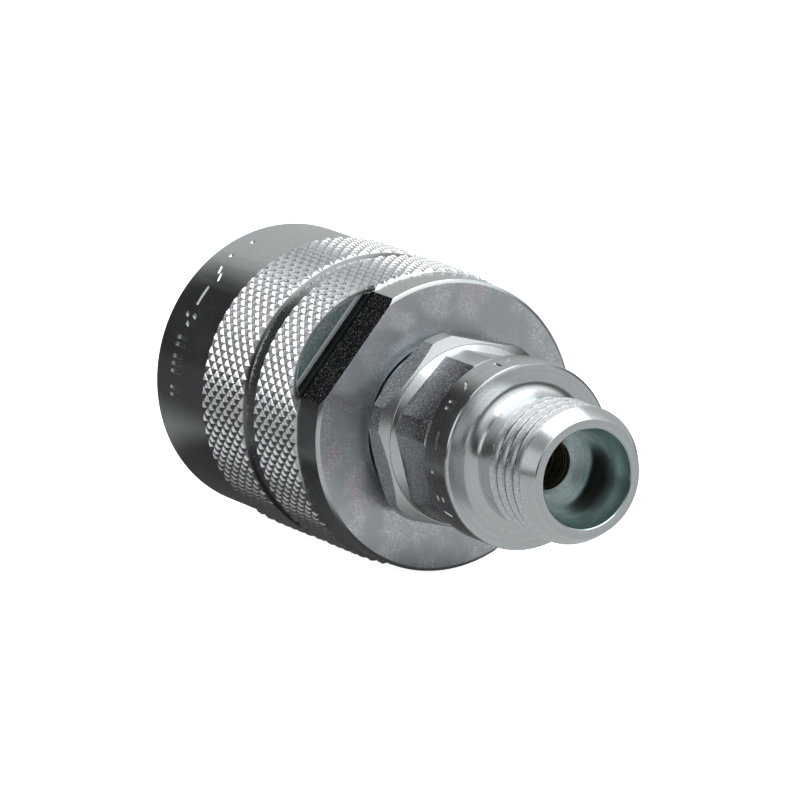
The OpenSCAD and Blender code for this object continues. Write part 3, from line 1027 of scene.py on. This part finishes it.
@dataclass
class UnionSleeve:
    """The knurled sleeve with its wrench flats and union thread."""

    front: float
    rear: float
    crest_r: float
    knurl_h: float = 0.45
    knurl_w: float = 7.95
    gap_w: float = 2.25
    gap_depth: float = 0.15
    land_w: float = 4.5
    across_flats: float = 27.0
    flat_len: float = 3.9
    cutter_r: float = 3.3
    flat_turn: float = 139.5
    mouth_r: float = 12.15
    mouth_len: float = 2.5
    wiper_w: float = 1.3
    wiper_groove_r: float = 12.8
    union_r: float = 11.0
    union_len: float = 9.0
    union_pitch: float = 2.0
    union_depth: float = 1.15
    relief_r: float = 12.2
    relief_w: float = 1.6
    inner_r: float = 12.0
    bore_r: float = 8.68
    wall: float = 4.5
    dust_r: float = 9.88
    dust_w: float = 1.54
    edge: float = 0.4
    rim: float = 0.08
    mark_depth: float = 0.16

    @property
    def radius(self) -> float:
        """Radius of the plain bands."""
        return self.crest_r - self.knurl_h

    @property
    def bands(self) -> tuple[float, float, float, float]:
        """Stations where the two knurled bands begin and end, from the front."""
        rear = self.rear - self.land_w
        middle = rear - self.knurl_w
        return middle - self.gap_w - self.knurl_w, middle - self.gap_w, middle, rear

    def outside(self) -> bpy.types.Object:
        """Turns the plain outside of the sleeve as a full solid."""
        r, e = self.radius, self.edge
        k1, g0, g1, k2 = self.bands
        under, groove = r - 0.08, r - self.gap_depth
        profile = [(self.front, 0.0), (self.front, r - e)]
        profile += arc(self.front + e, r - e, e, 180, 90, 9)[1:]
        profile += [(k1 - 0.1, r), (k1 - 0.1, under), (g0 - 0.2, under), (g0 - 0.2, groove),
                    (g1 + 0.2, groove), (g1 + 0.2, under), (k2 + 0.1, under), (k2 + 0.1, r),
                    (self.rear - 0.26, r), (self.rear - 0.1, r - 0.18), (self.rear, r - 0.36),
                    (self.rear, 0.0)]
        return turned(profile, 256).thing("coupling_sleeve_detailed")

    def knurl(self, start: float, end: float) -> bpy.types.Object:
        """Makes one knurled band with chamfered ends, trimmed back from the run-outs.

        Args:
            start: Station where the band's full height begins.
            end: Station where its rear chamfer meets the plain surface.

        Returns:
            The band in millimetres.
        """
        inner, low, high = self.radius - 0.6, self.radius - 0.25, self.crest_r + 0.2
        ring = Knurl(root=self.radius + 0.06, crest=self.crest_r).ring(start - 1, end + 1, inner)
        first, last = start - (self.crest_r - low), end + (self.radius - low)
        climb, floor = high - low, inner - 0.2
        limit = [(first, floor), (first, low), (first + climb, high), (last - climb, high),
                 (last, low), (last, floor)]
        band = combined(ring.thing("knurl"), turned(limit, 201).thing("limit"), Cut.KEEP)
        if end > self.rear - self.flat_len - self.cutter_r:
            for side in SIDES:
                combined(band, self.flat_tool(side, self.rim), Cut.REMOVE)
        return band

    def inside(self) -> bpy.types.Object:
        """Turns what is removed from the inside, with the union thread's grooves."""
        front, rear, e = self.front, self.rear, self.edge
        begin = front + self.mouth_len
        end = begin + self.union_len
        wiper, relief = front + (self.mouth_len + e - self.wiper_w) / 2, end + self.relief_w
        wall, dust, half = rear - self.wall, rear - self.wall / 2, self.dust_w / 2
        profile = [(front - 1, 0.0), (front - 1, self.mouth_r + e + 1), (front + e, self.mouth_r),
                   (wiper, self.mouth_r), (wiper, self.wiper_groove_r),
                   (wiper + self.wiper_w, self.wiper_groove_r), (wiper + self.wiper_w, self.mouth_r),
                   (begin - 0.9, self.mouth_r), (begin + 0.25, self.union_r), (end, self.union_r),
                   (end, self.relief_r), (relief, self.relief_r), (relief, self.inner_r),
                   (wall, self.inner_r), (wall, self.bore_r), (dust - half, self.bore_r),
                   (dust - half, self.dust_r), (dust + half, self.dust_r), (dust + half, self.bore_r),
                   (rear - e, self.bore_r), (rear + 1, self.bore_r + e + 1), (rear + 1, 0.0)]
        thread = Thread(self.union_pitch, self.union_r, self.union_depth, begin - 0.2, end + 1.5, 0.6,
                        internal=True)
        dense = finer(profile, begin + 0.25, end, 0.055)
        return turned(dense, 120, thread.rule).thing("inside")

    def flat_tool(self, side: float, wider: float = 0.0) -> bpy.types.Object:
        """Makes the cutter of one wrench flat with its rounded run-out.

        Args:
            side: Turn from the first flat, in degrees.
            wider: Distance by which the cutter reaches further than the flat.

        Returns:
            The cutter in millimetres.
        """
        height, wide = self.across_flats / 2 - wider, self.radius + 3
        corner, reach = self.rear - self.flat_len, self.cutter_r + wider
        line = [(self.rear + 1, height + 6), (corner - reach, height + 6)]
        line += arc(corner, height + reach, reach, 180, 270, 20)
        line += [(self.rear + 1, height)]
        points = [(x, y, z) for y in (-wide, wide) for x, z in line]
        n = len(line)
        faces: Faces = [tuple(range(n)), tuple(range(2 * n - 1, n - 1, -1))]
        faces += [(i, n + i, n + (i + 1) % n, (i + 1) % n) for i in range(n)]
        shell = Shell(np.array(points), faces).turned_about_axis(self.flat_turn - 90 + side)
        return shell.thing("flat")

    def marks(self) -> list[Stroke]:
        """Generic stamped strokes and dots in a row round the front band."""
        rows = [(-1.1, 110.0, 0.5, 0.44, 0), (-1.2, 120.5, 0.5, 0.44, 0), (-0.5, 128.2, 1.2, 0.30, 60),
                (0.5, 131.4, 1.2, 0.30, 60), (0.0, 141.0, 2.3, 0.38, 90), (-0.8, 150.2, 0.7, 0.42, 20),
                (0.7, 150.2, 0.7, 0.42, 20), (0.0, 153.8, 0.7, 0.42, 20)]
        rows += [(0.0, middle + 3.0 * (i - (count - 1) / 2), 2.0, 0.38, 0)
                 for middle, count in ((161.2, 2), (170.4, 3), (181.5, 2)) for i in range(count)]
        return [Stroke(self.front + 4.2 + ahead, *rest) for ahead, *rest in rows]

    def towards(self, rows: np.ndarray, side: float) -> np.ndarray:
        """Shares of points or normals that lie in the direction of one wrench flat.

        Args:
            rows: Rows of X, Y and Z.
            side: Turn from the first flat, in degrees.

        Returns:
            One share for each row.
        """
        a = math.radians(self.flat_turn + side)
        return rows[:, 1] * math.cos(a) + rows[:, 2] * math.sin(a)

    def choose(self, centre: np.ndarray, normal: np.ndarray) -> np.ndarray:
        """Picks the number of a finish for each face, in the order that build gives them.

        Args:
            centre: Centres of the faces, in millimetres.
            normal: Their normals.

        Returns:
            One number for each face.
        """
        band, knurled, milled, faced, union, scalloped, step_highlight = range(7)
        x, r, ahead = centre[:, 0], np.hypot(centre[:, 1], centre[:, 2]), normal[:, 0]
        corner, half = self.rear - self.flat_len, self.across_flats / 2
        _, gap_front, gap_rear, knurl_rear = self.bands
        picked = np.full(len(x), band)
        gap = (x > gap_front) & (x < gap_rear)
        rolled = (x > self.front + 10) & (x < knurl_rear + NEAR) & ~gap
        picked[rolled & (r > self.radius + 0.015)] = knurled
        for side in SIDES:
            flat = (x > corner - self.cutter_r) & (self.towards(centre, side) > half - NEAR / 2)
            square = np.abs(self.towards(normal, side + 90)) < NEAR
            picked[flat & square & (self.towards(normal, side) > 0.05)] = milled
        picked[(x > self.rear - NEAR) & (ahead > 0.5)] = faced
        picked[(picked == milled) & (ahead > NEAR)] = scalloped
        # A narrow band of run-out faces, picked by their normal, takes the painted highlight of the
        # cutter step.
        picked[(picked == scalloped) & (ahead > 0.40) & (ahead < 0.50)] = step_highlight
        for side in SIDES:
            height = self.towards(centre, side)
            away = np.hypot(x - corner, height - half - self.cutter_r)
            trim = (picked >= scalloped) & (height > 0) & (away > self.cutter_r + self.rim / 2)
            picked[trim & (x < corner)] = knurled
        picked[(r < self.mouth_r + 0.7) & (x < self.rear - 0.5)] = union
        return picked

    def build(self, paints: Paintbox) -> bpy.types.Object:
        """Builds and dresses the sleeve.

        Args:
            paints: Source of the materials.

        Returns:
            The finished piece.
        """
        k1, g0, g1, k2 = self.bands
        piece = self.outside()
        combined(piece, self.knurl(k1, g0), Cut.ADD)
        combined(piece, self.knurl(g1 + self.knurl_h, k2 + self.knurl_h), Cut.ADD)
        combined(piece, self.inside(), Cut.REMOVE)
        for side in SIDES:
            combined(piece, self.flat_tool(side), Cut.REMOVE)
        stamped(piece, self.marks(), self.radius, self.mark_depth)
        finishes = (BAND, KNURLED, MILLED, FACED, UNION, SCALLOPED, STEP_HIGHLIGHT)
        return paints.set_in(finished(piece), "coupling_sleeve", Body.SLEEVE,
                             finishes, self.choose)


@dataclass
class ValveBody:
    """The hexagonal body whose shank carries the sleeve."""

    front: float
    rear: float
    across_flats: float = 19.0
    hex_w: float = 4.0
    turn: float = 135.5
    shoulder: float = 0.9
    shank_r: float = 8.6
    edge: float = 0.4
    ring_mid: float = -30.58
    ring_w: float = 2.04
    ring_root: float = 7.7
    nose_r: float = 6.0
    nose_len: float = 6.5
    seal_root: float = 7.3
    seal_w: float = 2.68
    pocket_r: float = 5.7
    pocket_end: float = -35.06
    chamber_r: float = 5.3
    guide_front: float = -26.52
    clip_front: float = -24.7
    clip_rear: float = -23.7
    clip_r: float = 7.6
    spigot_r: float = 7.0
    counter: float = -19.46
    counter_r: float = 7.7

    @property
    def hex_front(self) -> float:
        """Station where the hexagon begins."""
        return self.rear - self.hex_w

    def shank(self) -> bpy.types.Object:
        """Turns the shank with the retaining ring's groove."""
        e, r = self.edge, self.shank_r
        near, far = self.ring_mid - self.ring_w / 2, self.ring_mid + self.ring_w / 2
        profile = [(self.front, 0.0), (self.front, r - e)]
        profile += arc(self.front + e, r - e, e, 180, 90, 9)[1:]
        profile += [(near, r), (near, self.ring_root), (far, self.ring_root), (far, r),
                    (self.hex_front + e, r), (self.hex_front + e, 0.0)]
        return turned(profile, 200).thing("shank")

    def bore(self) -> bpy.types.Object:
        """Turns what is removed from the inside: socket, chamber, guide seat and counterbore."""
        front, rear, e = self.front, self.rear, self.edge
        groove, nose = front + (self.nose_len - self.seal_w) / 2, front + self.nose_len
        profile = [(front - 1, 0.0), (front - 1, self.nose_r + e + 1), (front + e, self.nose_r),
                   (groove, self.nose_r), (groove, self.seal_root),
                   (groove + self.seal_w, self.seal_root), (groove + self.seal_w, self.nose_r),
                   (nose, self.nose_r), (nose, self.pocket_r), (self.pocket_end, self.pocket_r),
                   (self.pocket_end, self.chamber_r), (self.guide_front, self.chamber_r),
                   (self.guide_front, self.spigot_r), (self.clip_front, self.spigot_r),
                   (self.clip_front, self.clip_r), (self.clip_rear, self.clip_r),
                   (self.clip_rear, self.spigot_r), (self.counter, self.spigot_r),
                   (self.counter, self.counter_r), (rear - e / 2, self.counter_r),
                   (rear + 1, self.counter_r + e / 2 + 1), (rear + 1, 0.0)]
        return turned(profile, 160).thing("bore")

    def choose(self, centre: np.ndarray, normal: np.ndarray) -> np.ndarray:
        """Picks rolled for the flats that do not face up and turned for the rest, so that the flats
        facing up carry the brighter turned finish as a painted highlight.

        Args:
            centre: Centres of the faces, in millimetres.
            normal: Their normals.

        Returns:
            One number for each face.
        """
        rolled, bright = range(2)
        outside = np.hypot(centre[:, 1], centre[:, 2]) > self.shank_r + 0.2
        flat = outside & (centre[:, 0] > self.hex_front) & (np.abs(normal[:, 0]) < 0.1)
        return np.where(flat & (normal[:, 2] < FACING_UP), rolled, bright)

    def build(self, paints: Paintbox) -> bpy.types.Object:
        """Builds and dresses the body.

        Args:
            paints: Source of the materials.

        Returns:
            The finished piece.
        """
        e, step = self.edge, self.rear - self.shoulder
        low = self.across_flats / 2 - e / 2
        cone = [(step - e, 0.0), (step - e, low - e / 2), (step - 0.08, low - 0.03),
                (step + 0.06, low - 0.08), (self.rear - 0.1, low - self.shoulder + 0.06),
                (self.rear, low - self.shoulder), (self.rear, 0.0)]
        piece = hexagon(self.hex_front, step, self.across_flats, self.turn, True, True)
        piece.name = piece.data.name = "valve_body_detailed"
        combined(piece, self.shank(), Cut.ADD)
        combined(piece, turned(cone, 200).thing("shoulder"), Cut.ADD)
        combined(piece, self.bore(), Cut.REMOVE)
        return paints.set_in(finished(piece), "valve_body", Body.COUPLER,
                             (ROLLED, TURNED), self.choose)


@dataclass
class Stud:
    """The stud with its hexagon, collar, thread and cone for the tube."""

    front: float
    end: float
    across_flats: float = 17.0
    hex_front: float = -17.3
    hex_w: float = 5.7
    turn: float = 134.5
    collar_w: float = 4.7
    collar_r: float = 9.5
    neck_r: float = 6.3
    neck_len: float = 4.5
    fillet: float = 1.5
    thread_r: float = 7.0
    thread_len: float = 4.8
    thread_pitch: float = 1.5
    thread_depth: float = 0.86
    lead: float = 1.7
    end_r: float = 6.0
    cone_r: float = 5.05
    cone_angle: float = 24.0
    tube_r: float = 4.0
    tube_stop: float = 7.0
    bore_r: float = 2.6
    edge: float = 0.4
    spigot_r: float = 6.98
    spigot_neck: float = 6.2
    counter: float = -19.46
    funnel: float = 2.9
    mark_depth: float = 0.13

    @property
    def collar_front(self) -> float:
        """Station where the hexagon ends and the collar begins."""
        return self.hex_front + self.hex_w

    @property
    def thread_start(self) -> float:
        """Station where the full thread begins."""
        return self.collar_front + self.collar_w + self.neck_len

    @property
    def stop(self) -> float:
        """Station of the tube's stop."""
        return self.end - self.tube_stop

    def outside(self) -> bpy.types.Object:
        """Turns spigot, collar, neck and thread as one full solid."""
        e, cf, neck, full = self.edge, self.collar_front, self.neck_r, self.thread_r
        cr, begin = cf + self.collar_w, self.thread_start
        end = begin + self.thread_len
        profile = [(self.front, 0.0), (self.front, self.spigot_r - e), (self.front + e, self.spigot_r),
                   (self.counter, self.spigot_r), (self.counter, self.spigot_neck),
                   (self.hex_front + e, self.spigot_neck), (self.hex_front + e, neck),
                   (cf, neck), (cf, self.collar_r - 0.9), (cf + 0.35, self.collar_r - 0.15),
                   (cf + 0.55, self.collar_r), (cr - 0.3, self.collar_r),
                   (cr - 0.08, self.collar_r - 0.06), (cr, self.collar_r - 0.25)]
        profile += arc(cr + self.fillet, neck + self.fillet, self.fillet, 180, 270, 14)
        profile += [(begin - 1.35, neck), (begin - 1.25, neck + 0.02), (begin - 0.62, full - 0.04),
                    (begin - 0.5, full), (end, full), (end + 0.12, full - 0.06),
                    (self.end - 0.1, self.end_r + 0.05), (self.end, self.end_r - 0.05),
                    (self.end, 0.0)]
        thread = Thread(self.thread_pitch, full, self.thread_depth, begin - 1.3, end + 0.25, 0.55)
        dense = finer(profile, begin - 1.36, end + 0.3, 0.04)
        return turned(dense, 200, thread.rule).thing("stud_outside")

    def bore(self) -> bpy.types.Object:
        """Turns what is removed from the inside: funnel, flow bore, tube socket and cone."""
        slope = math.tan(math.radians(self.cone_angle / 2))
        cone = self.end - (self.cone_r - self.tube_r) / slope
        mouth, outer = self.funnel + self.bore_r, self.cone_r + 0.18
        profile = [(self.front - 1, 0.0), (self.front - 1, mouth), (self.front, mouth),
                   (self.front + self.funnel, self.bore_r), (self.stop - self.edge, self.bore_r),
                   (self.stop, self.bore_r + self.edge), (self.stop, self.tube_r),
                   (cone, self.tube_r), (self.end - 0.10, self.cone_r - 0.02),
                   (self.end + 0.1, outer), (self.end + 1, outer), (self.end + 1, 0.0)]
        return turned(profile, 160).thing("stud_bore")

    def marks(self) -> list[Stroke]:
        """Generic stamped strokes round the collar."""
        rows = [(0.0, 96.0, 1.1, 60), (0.2, 104.0, 1.3, 0), (0.0, 128.0, 1.3, 40),
                (0.0, 141.0, 1.3, 0), (0.0, 145.5, 1.3, 0), (0.0, 166.0, 1.7, 90),
                (0.0, 186.0, 1.3, 0), (0.5, 203.0, 0.6, 90), (-0.5, 203.0, 0.6, 90),
                (0.0, 214.0, 1.3, 15)]
        x = self.collar_front + 2.4
        return [Stroke(x + ahead, angle, length, 0.3, lean) for ahead, angle, length, lean in rows]

    def choose(self, centre: np.ndarray, normal: np.ndarray) -> np.ndarray:
        """Picks the number of a finish for each face, in the order that build gives them.

        Args:
            centre: Centres of the faces, in millimetres.
            normal: Their normals.

        Returns:
            One number for each face.
        """
        bright, rolled, threaded, bored, drilled, stopped = range(6)
        x, r, ahead = centre[:, 0], np.hypot(centre[:, 1], centre[:, 2]), normal[:, 0]
        picked = np.full(len(x), bright)
        side = (x < self.collar_front + 0.01) & (r > self.spigot_r + 0.5) & (np.abs(ahead) < 0.1)
        # Hexagon flats facing up keep the brighter turned finish: a painted highlight on the top
        # flats.
        picked[side & (normal[:, 2] < FACING_UP)] = rolled
        grooved = (x > self.thread_start - 1.3) & (x < self.end - self.lead + 0.05)
        picked[grooved & (r > 5.6)] = threaded
        inward = normal[:, 1] * centre[:, 1] + normal[:, 2] * centre[:, 2] < 0
        picked[inward & (x > self.stop - 0.5) & (r < 5.2)] = bored
        picked[inward & (x < self.stop - 0.45) & (r < 5.6)] = drilled
        shelf = (np.abs(x - self.stop) < 0.45) & (r < self.tube_r - NEAR)
        picked[shelf & (ahead > 0.3)] = stopped
        return picked

    def build(self, paints: Paintbox) -> bpy.types.Object:
        """Builds and dresses the stud.

        Args:
            paints: Source of the materials.

        Returns:
            The finished piece.
        """
        last = self.collar_front + self.edge
        piece = hexagon(self.hex_front, last, self.across_flats, self.turn, False, True)
        piece.name = piece.data.name = "stud_adapter_detailed"
        combined(piece, self.outside(), Cut.ADD)
        combined(piece, self.bore(), Cut.REMOVE)
        stamped(piece, self.marks(), self.collar_r, self.mark_depth)
        finishes = (TURNED, ROLLED, THREADED, BORED, DRILLED, STOPPED)
        return paints.set_in(finished(piece), "stud_adapter", Body.COUPLER,
                             finishes, self.choose)


@dataclass
class PoppetSpring:
    """The spring behind the poppet, with ground end turns."""

    start: float
    end: float
    outer_r: float
    wire: float = 0.8
    turns: float = 4.5
    sides: int = 14
    steps: int = 40
    ground: float = 0.05
    travel: float = 3.0

    def build(self, paints: Paintbox) -> bpy.types.Object:
        """Builds and dresses the spring.

        Args:
            paints: Source of the materials.

        Returns:
            The finished piece.
        """
        count, n = int(self.steps * self.turns), self.sides
        r, mean = self.wire / 2, self.outer_r - self.wire / 2
        t = np.linspace(0, 1, count + 1)[:, None]
        b = (np.arange(n) * 2 * math.pi / n)[None, :]
        x = self.start + r + (self.end - self.start - self.wire) * t + r * np.sin(b)
        x = np.clip(x, self.start + self.ground, self.end - self.ground)
        radius = mean + r * np.cos(b) + 0 * t
        angle = 2 * math.pi * self.turns * t + 0 * b
        points = on_ring(x.ravel(), radius.ravel(), angle.ravel())
        faces: Faces = [tuple(range(n - 1, -1, -1)), tuple(count * n + j for j in range(n))]
        for a in range(0, count * n, n):
            faces += [(a + j, a + (j + 1) % n, a + n + (j + 1) % n, a + n + j) for j in range(n)]
        coil = finished(Shell(points, faces).thing("poppet_spring_coil"), 50)
        piece = paints.set_in(coil, "poppet_spring", Body.COUPLER, (WIRE,))
        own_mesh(piece)
        return piece


# ---------------------------------------------------------------- studio


@dataclass(frozen=True)
class Fade:
    """A smooth change of a level along one axis."""

    axis: str
    low: float
    high: float
    start: float = 0.0
    end: float = 1.0

    @staticmethod
    def product(w: Wiring, parts: bpy.types.bpy_prop_collection, *fades: "Fade") -> Socket:
        """Multiplies fades in order.

        Args:
            w: Wiring of the material or the world.
            parts: Outputs X, Y and Z of the place or direction.
            fades: The fades.

        Returns:
            Their product.
        """
        return w.times(*(w.ramp(parts[f.axis], f.low, f.high, f.start, f.end) for f in fades))


FLOOR_BACK = Fade("Y", -0.035, 0.004, 0.05, 0.52)
FLOOR_RIGHT = Fade("X", -0.075, -0.005)
FLOOR_STRIP = (Fade("Y", -0.080, -0.050, 0.45, 0.0), Fade("X", -0.10, -0.07))
FLOOR_BEHIND = (Fade("Y", 0.030, 0.050), Fade("X", -0.16, -0.12), Fade("X", -0.02, 0.0, 1.0, 0.0))
SKY_BACK = Fade("Y", -0.24, 0.14, 0.022, 0.52)
SKY_RIGHT = Fade("X", -0.35, 0.25)
SKY_RISEN = (Fade("Z", 0.22, 0.62, 0.10, 1.15), Fade("Y", -0.75, -0.20, 0.42, 1.0))
SKY_CARD = (Fade("X", -0.74, -0.52), Fade("X", -0.05, 0.20, 1.0, 0.0),
            Fade("Y", -0.45, -0.15, 1.0, 0.0), Fade("Z", 0.0, 0.2), Fade("Z", 0.52, 0.66, 1.0, 0.0))


@dataclass
class Studio:
    """Pale floor, soft light and the camera, in metres."""

    floor_z: float
    floor_half: float = 3.0
    floor_light: float = 0.52
    floor_grey: float = 0.9
    behind_loss: float = -0.6
    shade_centre: tuple[float, float] = (-0.043, -0.009)
    shade_half: tuple[float, float] = (0.030, 0.025)
    shade_rim: tuple[float, float] = (0.8, 1.25)
    shade_level: float = 0.10
    azimuth: float = 59.3
    elevation: float = 12.8
    camera_place: tuple[float, float, float] = (0.60788, -0.37982, 0.16994)
    lens: float = 337.5
    lamp_place: tuple[float, float, float] = (-0.03, 0.02, 0.55)
    lamp_aim: tuple[float, float, float] = (-0.026, 0.0, 0.0)
    lamp_size: tuple[float, float] = (0.70, 0.62)
    lamp_power: float = 2.0

    def floor_level(self, w: Wiring) -> Socket:
        """Grades the floor's reflection: darker in front and to the left, with a painted shadow under
        the part.

        Args:
            w: Wiring of the floor's material.

        Returns:
            The level of light that the floor shows in reflections.
        """
        parts = w.split(w.coordinates())
        back, right = Fade.product(w, parts, FLOOR_BACK), Fade.product(w, parts, FLOOR_RIGHT)
        level = w.mixed(right, back, self.floor_light)
        level = w.math("MAXIMUM", level, Fade.product(w, parts, *FLOOR_STRIP))
        behind = Fade.product(w, parts, *FLOOR_BEHIND)
        level = w.times(level, w.math("MULTIPLY_ADD", behind, self.behind_loss, 1.0))
        # The shade ellipse under the part is a painted shadow, seen only in reflections.
        squares = []
        for axis, centre, half in zip("XY", self.shade_centre, self.shade_half):
            away = w.math("DIVIDE", w.math("ADD", parts[axis], -centre), half)
            squares.append(w.math("POWER", away, 2.0))
        away = w.math("SQRT", w.math("ADD", *squares))
        return w.times(level, w.ramp(away, *self.shade_rim, self.shade_level, 1.0))

    def floor(self) -> None:
        """Lays a large pale floor that glows: evenly pale to the camera, and with the graded level of
        floor_level in reflections.
        """
        s = self.floor_half
        mesh = bpy.data.meshes.new("studio_floor")
        mesh.from_pydata([(-s, -s, 0), (s, -s, 0), (s, s, 0), (-s, s, 0)], [], [(0, 1, 2, 3)])
        floor = linked("studio_floor", mesh)
        floor.location = (0, 0, self.floor_z)
        paint, w, shader = opened("pale floor")
        mirrored = w.node("ShaderNodeLightPath").outputs["Is Glossy Ray"]
        tone, pale = w.toned(self.floor_level(w)), opaque((self.floor_grey,) * 3)
        w.fill(shader, Base_Color=w.blend(mirrored, pale, (0, 0, 0, 1)),
               Emission_Color=w.blend(mirrored, pale, tone), Emission_Strength=1.0, Roughness=1.0,
               Specular_IOR_Level=0.0)
        mesh.materials.append(paint)

    def world(self) -> None:
        """Makes a surround that is white to the camera and graded in reflections."""
        scene = bpy.context.scene
        scene.world = bpy.data.worlds.new("studio surround")
        scene.world.use_nodes = True
        w = Wiring(scene.world.node_tree)
        w.tree.nodes.clear()
        parts = w.split(w.coordinates("Generated"))
        back, right = Fade.product(w, parts, SKY_BACK), Fade.product(w, parts, SKY_RIGHT)
        level = w.mixed(right, back, Fade.product(w, parts, *SKY_RISEN))
        level = w.math("MAXIMUM", level, Fade.product(w, parts, *SKY_CARD))
        seen = w.node("ShaderNodeLightPath").outputs["Is Camera Ray"]
        surround = w.node("ShaderNodeBackground")
        w.feed(surround.inputs[0], w.blend(seen, w.toned(level), (1, 1, 1, 1)))
        w.feed(w.node("ShaderNodeOutputWorld").inputs[0], surround.outputs[0])

    def lamp(self) -> None:
        """Hangs one soft rectangular lamp above the part."""
        data = bpy.data.lights.new("overhead box", "AREA")
        data.shape, data.energy = "RECTANGLE", self.lamp_power
        data.size, data.size_y = self.lamp_size
        lamp = linked("overhead box", data)
        back = Vector(self.lamp_place) - Vector(self.lamp_aim)
        point(lamp, self.lamp_place, back)
        lamp.visible_camera = False

    def camera(self) -> None:
        """Sets up the camera."""
        data = bpy.data.cameras.new("camera")
        data.lens, data.sensor_width = self.lens, 36.0
        data.clip_start, data.clip_end = 0.01, 20.0
        a, e = math.radians(self.azimuth), math.radians(self.elevation)
        back = Vector((math.sin(a) * math.cos(e), -math.cos(a) * math.cos(e), math.sin(e)))
        camera = linked("camera", data)
        point(camera, self.camera_place, back)
        bpy.context.scene.camera = camera

    def build(self) -> None:
        """Builds the whole studio."""
        self.floor()
        self.world()
        self.lamp()
        self.camera()
        bpy.context.scene.view_settings.view_transform = "Standard"


def point(thing: bpy.types.Object, place: Sequence[float], back: Vector) -> None:
    """Puts a lamp or camera in its place and turns it.

    Args:
        thing: The lamp or camera.
        place: Where it stands.
        back: Direction from its aim to it.
    """
    thing.location = place
    thing.rotation_mode = "QUATERNION"
    thing.rotation_quaternion = (-back).to_track_quat("-Z", "Y")


def span(node: str) -> tuple[Vector, Vector]:
    """Returns the lowest and highest corner of a CAD node in millimetres."""
    low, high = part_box(node)
    return low / MM, high / MM


def main() -> None:
    """Builds every piece in order, then the studio."""
    logging.basicConfig(level=logging.INFO, format="%(name)s %(message)s")
    paints = Paintbox()
    low, high = span("coupling_sleeve")
    UnionSleeve(front=low.x, rear=high.x, crest_r=high.z).build(paints)
    low, high = span("valve_body")
    ValveBody(front=low.x, rear=high.x).build(paints)
    low, high = span("stud_adapter")
    Stud(front=low.x, end=high.x).build(paints)
    low, high = span("poppet_spring")
    PoppetSpring(start=low.x, end=high.x, outer_r=high.z).build(paints)
    paints.dress_solids()
    Studio(floor_z=CAD_BOX[0].z - FLOOR_GAP).build()


if __name__ == "__main__":
    main()
